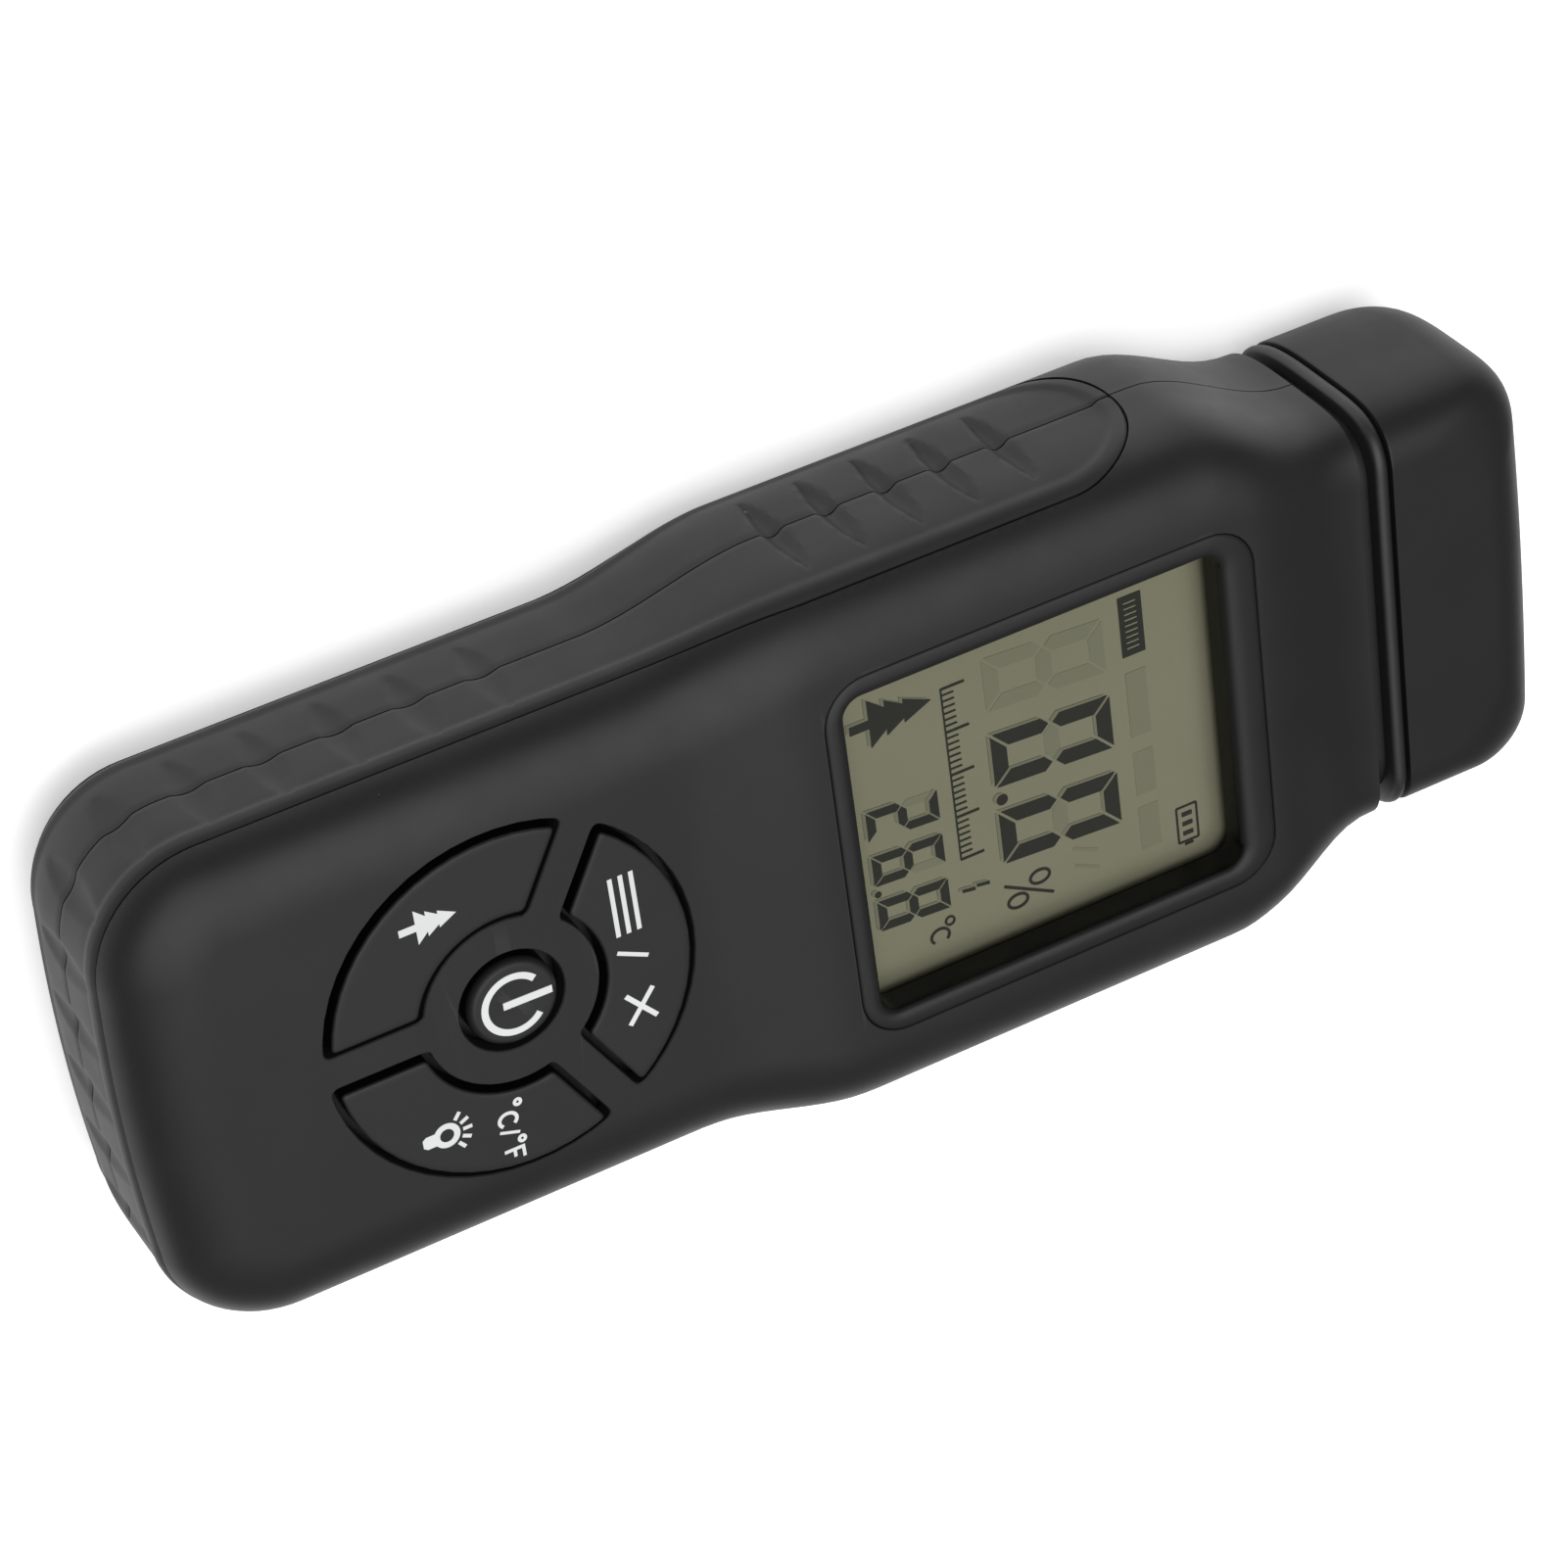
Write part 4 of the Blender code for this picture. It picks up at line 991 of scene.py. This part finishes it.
def add_ghosts(bm, z):
    add_digit(bm, "abcdefg", (-14.6, BIG_BASE), BIG, z)
    for x, figure in BIG_DIGITS:
        add_digit(bm, "g", (x, BIG_BASE), BIG, z)
    for x, _ in SMALL_DIGITS[:2]:
        add_digit(bm, "bf" if x < 0 else "b", (x, SMALL_BASE), SMALL, z)
    for left, right in ((-6.0, 2.0), (3.9, 9.3), (10.8, 16.2)):
        add_stroke(bm, [(left, 32.6), (right, 32.6)], 2.4, z)
    for x in (12.4, 14.6):
        add_stroke(bm, [(x, 23.4), (x + 1.4, 26.2)], 0.4, z)


def spread_heights(bm, step=0.003, cycle=7):
    """Lifts each closed piece's top by a different hair, so that no two crossing ones share a face."""
    bmesh.ops.recalc_face_normals(bm, faces=bm.faces)
    seen = set()
    number = 0
    for start in bm.verts:
        if start in seen:
            continue
        seen.add(start)
        island, queue = [start], [start]
        while queue:
            for edge in queue.pop().link_edges:
                for vert in edge.verts:
                    if vert not in seen:
                        seen.add(vert)
                        island.append(vert)
                        queue.append(vert)
        top = max(vert.co.z for vert in island)
        number += 1
        for vert in island:
            if vert.co.z > top - 0.001 * MM:
                vert.co.z += step * MM * (number % cycle)


def marks(name, material, body, *adders, z):
    bm = bmesh.new()
    for adder in adders:
        adder(bm, z)
    spread_heights(bm)
    return dress(finish(name, bm, smooth=False), material, body)


def build_readout():
    def shadows(bm, z):
        add_reading(bm, z, shift=(-0.32, -0.38))

    top = PANEL_TOP
    marks("lcd_ghosts", "lcd_ghost", "case", add_ghosts, z=(top + 0.01, top + 0.03))
    marks("lcd_shadows", "lcd_shadow", "case", shadows, z=(top + 0.045, top + 0.065))
    marks("lcd_segments", "lcd_segment", "case", add_reading, add_units, add_graduation, add_battery_sign,
          add_frame_label, z=(top + 0.08, top + 0.11))


# ---- keys

def lofted_key(name, outline_at, top):
    """Key with a flange, straight sides and a rolled edge to a flat top."""
    low, high = KEY_FLANGE_Z
    body = -KEY_CLEARANCE
    levels = [(KEY_FLANGE, low), (KEY_FLANGE, high), (body, high), (body, top - KEY_ROLL)]
    for step in range(1, 6):
        angle = radians(90 * step / 5)
        levels.append((body - KEY_ROLL * (1 - cos(angle)), top - KEY_ROLL + KEY_ROLL * sin(angle)))
    levels.append((body - 0.8, top))
    return tube(name, [level(outline_at(grow), z) for grow, z in levels])


def build_keys():
    for name, angle in SECTOR_ANGLES.items():
        def outline_at(grow, angle=angle):
            return sector_outline(angle, KEYPAD_RADIUS + grow, KEY_INNER_RADIUS - grow,
                                  KEY_RIB_HALF - grow, 1.1 + grow * 0.6)
        key = lofted_key(f"key_{name}_cap", outline_at, KEY_TOP)
        dress(key, "key_rubber", f"{name}_button", f"key_{name}")
        # Painted shade: the key's flange and lower sides, down in the gap, are coloured near-black.
        paint_shade(key, "painted_shade_black", lambda c: c.z < KEY_TOP - 0.8)
    radius = POWER_RADIUS - POWER_CLEARANCE
    flange = POWER_RADIUS + KEY_FLANGE
    low, high = KEY_FLANGE_Z
    roll, drop = POWER_ROLL
    profile = [(flange, low), (flange, high), (radius, high), (radius, KEY_TOP - drop)]
    for degree in range(10, 91, 10):
        turn = radians(degree)
        profile.append((radius - roll * (1 - cos(turn)), KEY_TOP - drop + drop * sin(turn)))
    profile += [(3.0, KEY_TOP - 0.05), (1.5, KEY_TOP - 0.08), (0.01, KEY_TOP - 0.09)]
    power = turned("key_power_cap", profile, (0, KEY_CENTRE_Y, 0), segments=64)
    dress(power, "key_rubber", "power_button", "key_power")
    # Painted shade: the power key's flange and lower side, down in its gap, are coloured near-black.
    paint_shade(power, "painted_shade_black", lambda c: c.z < KEY_TOP - 1.0)


def add_power_sign(bm, z):
    add_stroke(bm, arc((0.1, KEY_CENTRE_Y), 3.2, 130, 410, 40), 0.75, z)
    add_stroke(bm, [(-0.05, -42.2), (0.05, -36.9)], 0.85, z)


def add_tree_sign(bm, z):
    add_plate(bm, fir_tree(-13.0, -49.4, 4.3, 4.0, 0.42, 1.8), z)


def add_light_signs(bm, z):
    bulb = (12.0, -50.4)
    add_stroke(bm, ring_of(bulb, 1.1), 0.68, z, closed=True)
    add_plate(bm, [(11.25, -51.4), (11.25, -52.6), (11.55, -53.0),
                   (12.45, -53.0), (12.75, -52.6), (12.75, -51.4)], z)
    for angle in (38, 64, 90, 116, 142):
        turn = radians(angle)
        near, far = 1.75, 2.75
        add_stroke(bm, [(bulb[0] + near * cos(turn), bulb[1] + near * sin(turn)),
                        (bulb[0] + far * cos(turn), bulb[1] + far * sin(turn))], 0.42, z)
    add_stroke(bm, ring_of((11.5, -42.6), 0.33), 0.36, z, closed=True)
    add_stroke(bm, arc((13.2, -43.9), 0.95, 40, 320, squeeze=0.85), 0.4, z)
    add_stroke(bm, [(14.4, -45.0), (15.1, -42.9)], 0.34, z)
    add_stroke(bm, ring_of((16.0, -42.8), 0.33), 0.36, z, closed=True)
    add_stroke(bm, [(16.95, -44.9), (16.95, -42.7)], 0.4, z)
    add_stroke(bm, [(16.75, -42.85), (18.2, -42.85)], 0.36, z)
    add_stroke(bm, [(16.75, -43.8), (17.9, -43.8)], 0.36, z)


def add_mode_signs(bm, z):
    """Menu bars, a slash and a cross, in place of words."""
    for y in (-26.85, -28.0, -29.15):
        add_stroke(bm, [(-9.6, y), (-2.6, y)], 0.5, z)
    add_stroke(bm, [(-0.8, -29.6), (0.8, -26.4)], 0.46, z)
    for sign in (1, -1):
        add_stroke(bm, [(4.6, -28.0 - 1.5 * sign), (8.2, -28.0 + 1.5 * sign)], 0.55, z)


def build_key_marks():
    for name, adder in (("power", add_power_sign), ("species", add_tree_sign),
                        ("light", add_light_signs), ("mode", add_mode_signs)):
        low = KEY_TOP - 0.12 if name == "power" else KEY_TOP - 0.03
        marks(f"mark_{name}", "key_print", f"{name}_button", adder, z=(low, KEY_TOP + 0.025))


# ---- back, battery and probe

def build_door():
    low, high = DOOR_Y
    levels = ((0.35, 0.0), (0.0, 0.35), (0.0, 1.9), (0.1, 2.0))
    rings = [level(rounded_rectangle(DOOR_HALF - d, low + d, high - d, 0.5, 3), z) for d, z in levels]
    door = tube("door_panel", rings)
    for i in range(6):
        y = -31.0 - 1.6 * i
        cut(door, tube("groove", [[(x, y - 0.4, -0.5), (x, y + 0.4, -0.5), (x, y + 0.4, 0.02),
                                   (x, y, 0.45), (x, y - 0.4, 0.02)] for x in (-6.5, 6.5)], smooth=False))
    arrow = [(0.0, -26.2), (-3.2, -28.6), (3.2, -28.6)]
    cut(door, prism("arrow", arrow, -0.5, 0.35))
    add(door, box("riser", (-8, 8), (low, low + 0.6), (1, 3.2)))
    add(door, box("tongue", (-8, 8), (low - 2.3, low + 0.3), (2.5, 3.2)))
    dress(tidy(door), "case_plastic", "door", "battery_door")


def build_screw_heads():
    profile = ((2.0, 4.1), (2.2, 4.35), (2.2, 5.7), (1.2, 5.7), (1.2, 20.2), (0.9, 20.5))
    for number, position in enumerate(CASE_SCREWS, start=1):
        screw = turned(f"case_screw_{number}_body", profile, (*position, 0), segments=32)
        x, y = position
        for along, across in ((1.3, 0.28), (0.28, 1.3)):
            cut(screw, box("slot", (x - along, x + along), (y - across, y + across), (3.5, 4.9)))
        dress(tidy(screw), "plated_steel", "case", f"case_screw_{number}")


def along_y(name, outline_at, levels):
    """Body along Y from (inset, y) levels of an outline in X and Z."""
    return tube(name, [[(x, y, z) for x, z in outline_at(d)] for d, y in levels])


def build_battery():
    def section(d):
        return rounded_rectangle(13.25 - d, 3.1 + d, 19.9 - d, 2.4 - d * 0.5, 6)

    levels = ((0.9, -70.0), (0.25, -69.8), (0.0, -69.3), (0.0, -68.6), (0.12, -68.4), (0.12, -25.4),
              (0.0, -25.2), (0.0, -24.3), (0.25, -23.8), (0.9, -23.6))
    dress(along_y("battery_body", section, levels), "battery_can", "case", "battery")


def build_probe():
    def section(d):
        return rounded_rectangle(17.0 - d, 6.0 + d, 22.0 - d, 1.2, 5)

    def flange(d):
        return rounded_rectangle(18.9 - d, 4.8 + d, 22.9 - d, 0.8, 5)

    block = along_y("probe_nose", section, ((0.0, 64.0), (0.0, 67.9), (0.12, 68.2), (0.4, 68.3)))
    add(block, along_y("flange", flange, ((0.2, 62.2), (0.0, 62.4), (0.0, 65.6))))
    for x in (-PIN_X, PIN_X):
        bore = [(2.6, 60), (2.6, 67.9), (3.1, 68.6)]
        cut(block, turned("bore", bore, (x, 0, PIN_Z), "Y"))
    dress(tidy(block), "nose_plastic", "case", "probe_block")
    for side, x in (("left", -PIN_X), ("right", PIN_X)):
        socket = ((1.0, 56.0), (1.6, 56.2), (1.6, 60.0), (2.4, 60.0), (2.4, 68.5), (2.2, 68.9), (1.1, 68.9),
                  (1.0, 68.8))
        holder = turned(f"socket_{side}", socket, (x, 0, PIN_Z), "Y")
        dress(holder, "socket_brass", "case", f"pin_socket_{side}")
        pin = ((1.6, 69.2), (1.9, 69.4), (1.9, 70.1), (1.7, 70.4), (0.95, 70.5), (0.9, 70.8), (0.9, 75.6),
               (0.62, 76.9), (0.3, 78.0), (0.03, 78.6))
        dress(turned(f"pin_{side}", pin, (x, 0, PIN_Z), "Y"), "plated_steel", "case", f"electrode_pin_{side}")


# ---- carried-over parts

KEPT = {
    "diffuser_plastic": ("backlight_guide",),
    "led_body": ("backlight_led_left", "backlight_led_right"),
    "zebra_rubber": ("zebra_strip_lower", "zebra_strip_upper"),
    "board_laminate": ("main_board", "keypad_board"),
    "chip_resin": ("board_header", "microcontroller", "display_driver", "temperature_sensor"),
    "crystal_can": ("crystal",),
    "buzzer_plastic": ("buzzer",),
    "capacitor_sleeve": ("capacitor_input", "capacitor_output"),
    "silicone_rubber": ("keypad_mat", "dome_power", "dome_mode", "dome_species", "dome_light"),
    "plated_steel": ("battery_stud_positive", "battery_stud_negative", "keypad_board_screw_1",
                     "keypad_board_screw_2", "main_board_screw_1", "main_board_screw_2", "main_board_screw_3",
                     "main_board_screw_4"),
    "snap_vinyl": ("snap_connector",),
    "red_insulation": ("battery_lead_positive",),
    "black_insulation": ("battery_lead_negative",),
    "battery_foam": ("battery_pad",),
    "white_insulation": ("probe_lead_left", "probe_lead_right"),
}


def dress_kept():
    for material, names in KEPT.items():
        for name in names:
            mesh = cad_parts[name].data
            mesh.materials.clear()
            mesh.materials.append(MATERIALS[material])


# ---- studio

def build_floor():
    bm = bmesh.new()
    reach = 2500.0
    corners = [bm.verts.new(Vector((x, y, -0.2)) * MM) for x, y in
               ((-reach, -reach), (reach, -reach), (reach, reach), (-reach, reach))]
    bm.faces.new(corners)
    floor = finish("studio_floor", bm, smooth=False)
    material = bpy.data.materials.new("studio_floor")
    tree, nodes, links = nodes_of(material)
    shader = nodes["Principled BSDF"]
    coordinates = nodes.new("ShaderNodeTexCoord").outputs["Object"]
    shade = ranged(tree, noise(tree, coordinates, 6.0), 0.0, 1.0)
    links.new(blended(tree, shade, (0.90, 0.90, 0.90), (0.92, 0.92, 0.92)), shader.inputs["Base Color"])
    shader.inputs["Roughness"].default_value = 0.9
    shader.inputs["Emission Color"].default_value = (1, 1, 1, 1)
    shader.inputs["Emission Strength"].default_value = 0.5
    floor.data.materials.append(material)


def area_light(name, position, target, size, power):
    light = bpy.data.lights.new(name, "AREA")
    light.shape = "RECTANGLE"
    light.size, light.size_y = size
    light.energy = power
    obj = bpy.data.objects.new(name, light)
    obj.location = position
    direction = Vector(target) - Vector(position)
    obj.rotation_mode = "QUATERNION"
    obj.rotation_quaternion = direction.to_track_quat("-Z", "Y")
    bpy.context.collection.objects.link(obj)


def build_studio():
    build_floor()
    world = bpy.data.worlds.new("studio")
    bpy.context.scene.world = world
    world.use_nodes = True
    world.node_tree.nodes["Background"].inputs["Color"].default_value = (1, 1, 1, 1)
    world.node_tree.nodes["Background"].inputs["Strength"].default_value = 0.16
    area_light("overhead_light", (-0.03, -0.06, 1.3), (0, 0, 0), (1.6, 1.6), 23.0)
    bpy.context.scene.view_settings.view_transform = "Standard"


def build_camera():
    camera = bpy.data.cameras.new("camera")
    camera.sensor_width = 36.0
    camera.lens = 118.76
    camera.clip_start, camera.clip_end = 0.01, 20.0
    right = Vector((0.11908, 0.875, 0.46924))
    up = Vector((-0.81348, 0.35695, -0.45917))
    obj = bpy.data.objects.new("camera", camera)
    turn = Matrix((right, up, right.cross(up))).transposed()
    obj.rotation_mode = "QUATERNION"
    obj.rotation_quaternion = turn.to_quaternion()
    obj.location = (-0.300406, -0.174893, 0.410235)
    bpy.context.collection.objects.link(obj)
    bpy.context.scene.camera = obj


def main():
    build_front_case()
    build_rear_case()
    build_grips()
    build_cap()
    build_ring()
    build_display()
    build_readout()
    build_keys()
    build_key_marks()
    build_door()
    build_screw_heads()
    build_battery()
    build_probe()
    dress_kept()
    build_studio()
    build_camera()


main()
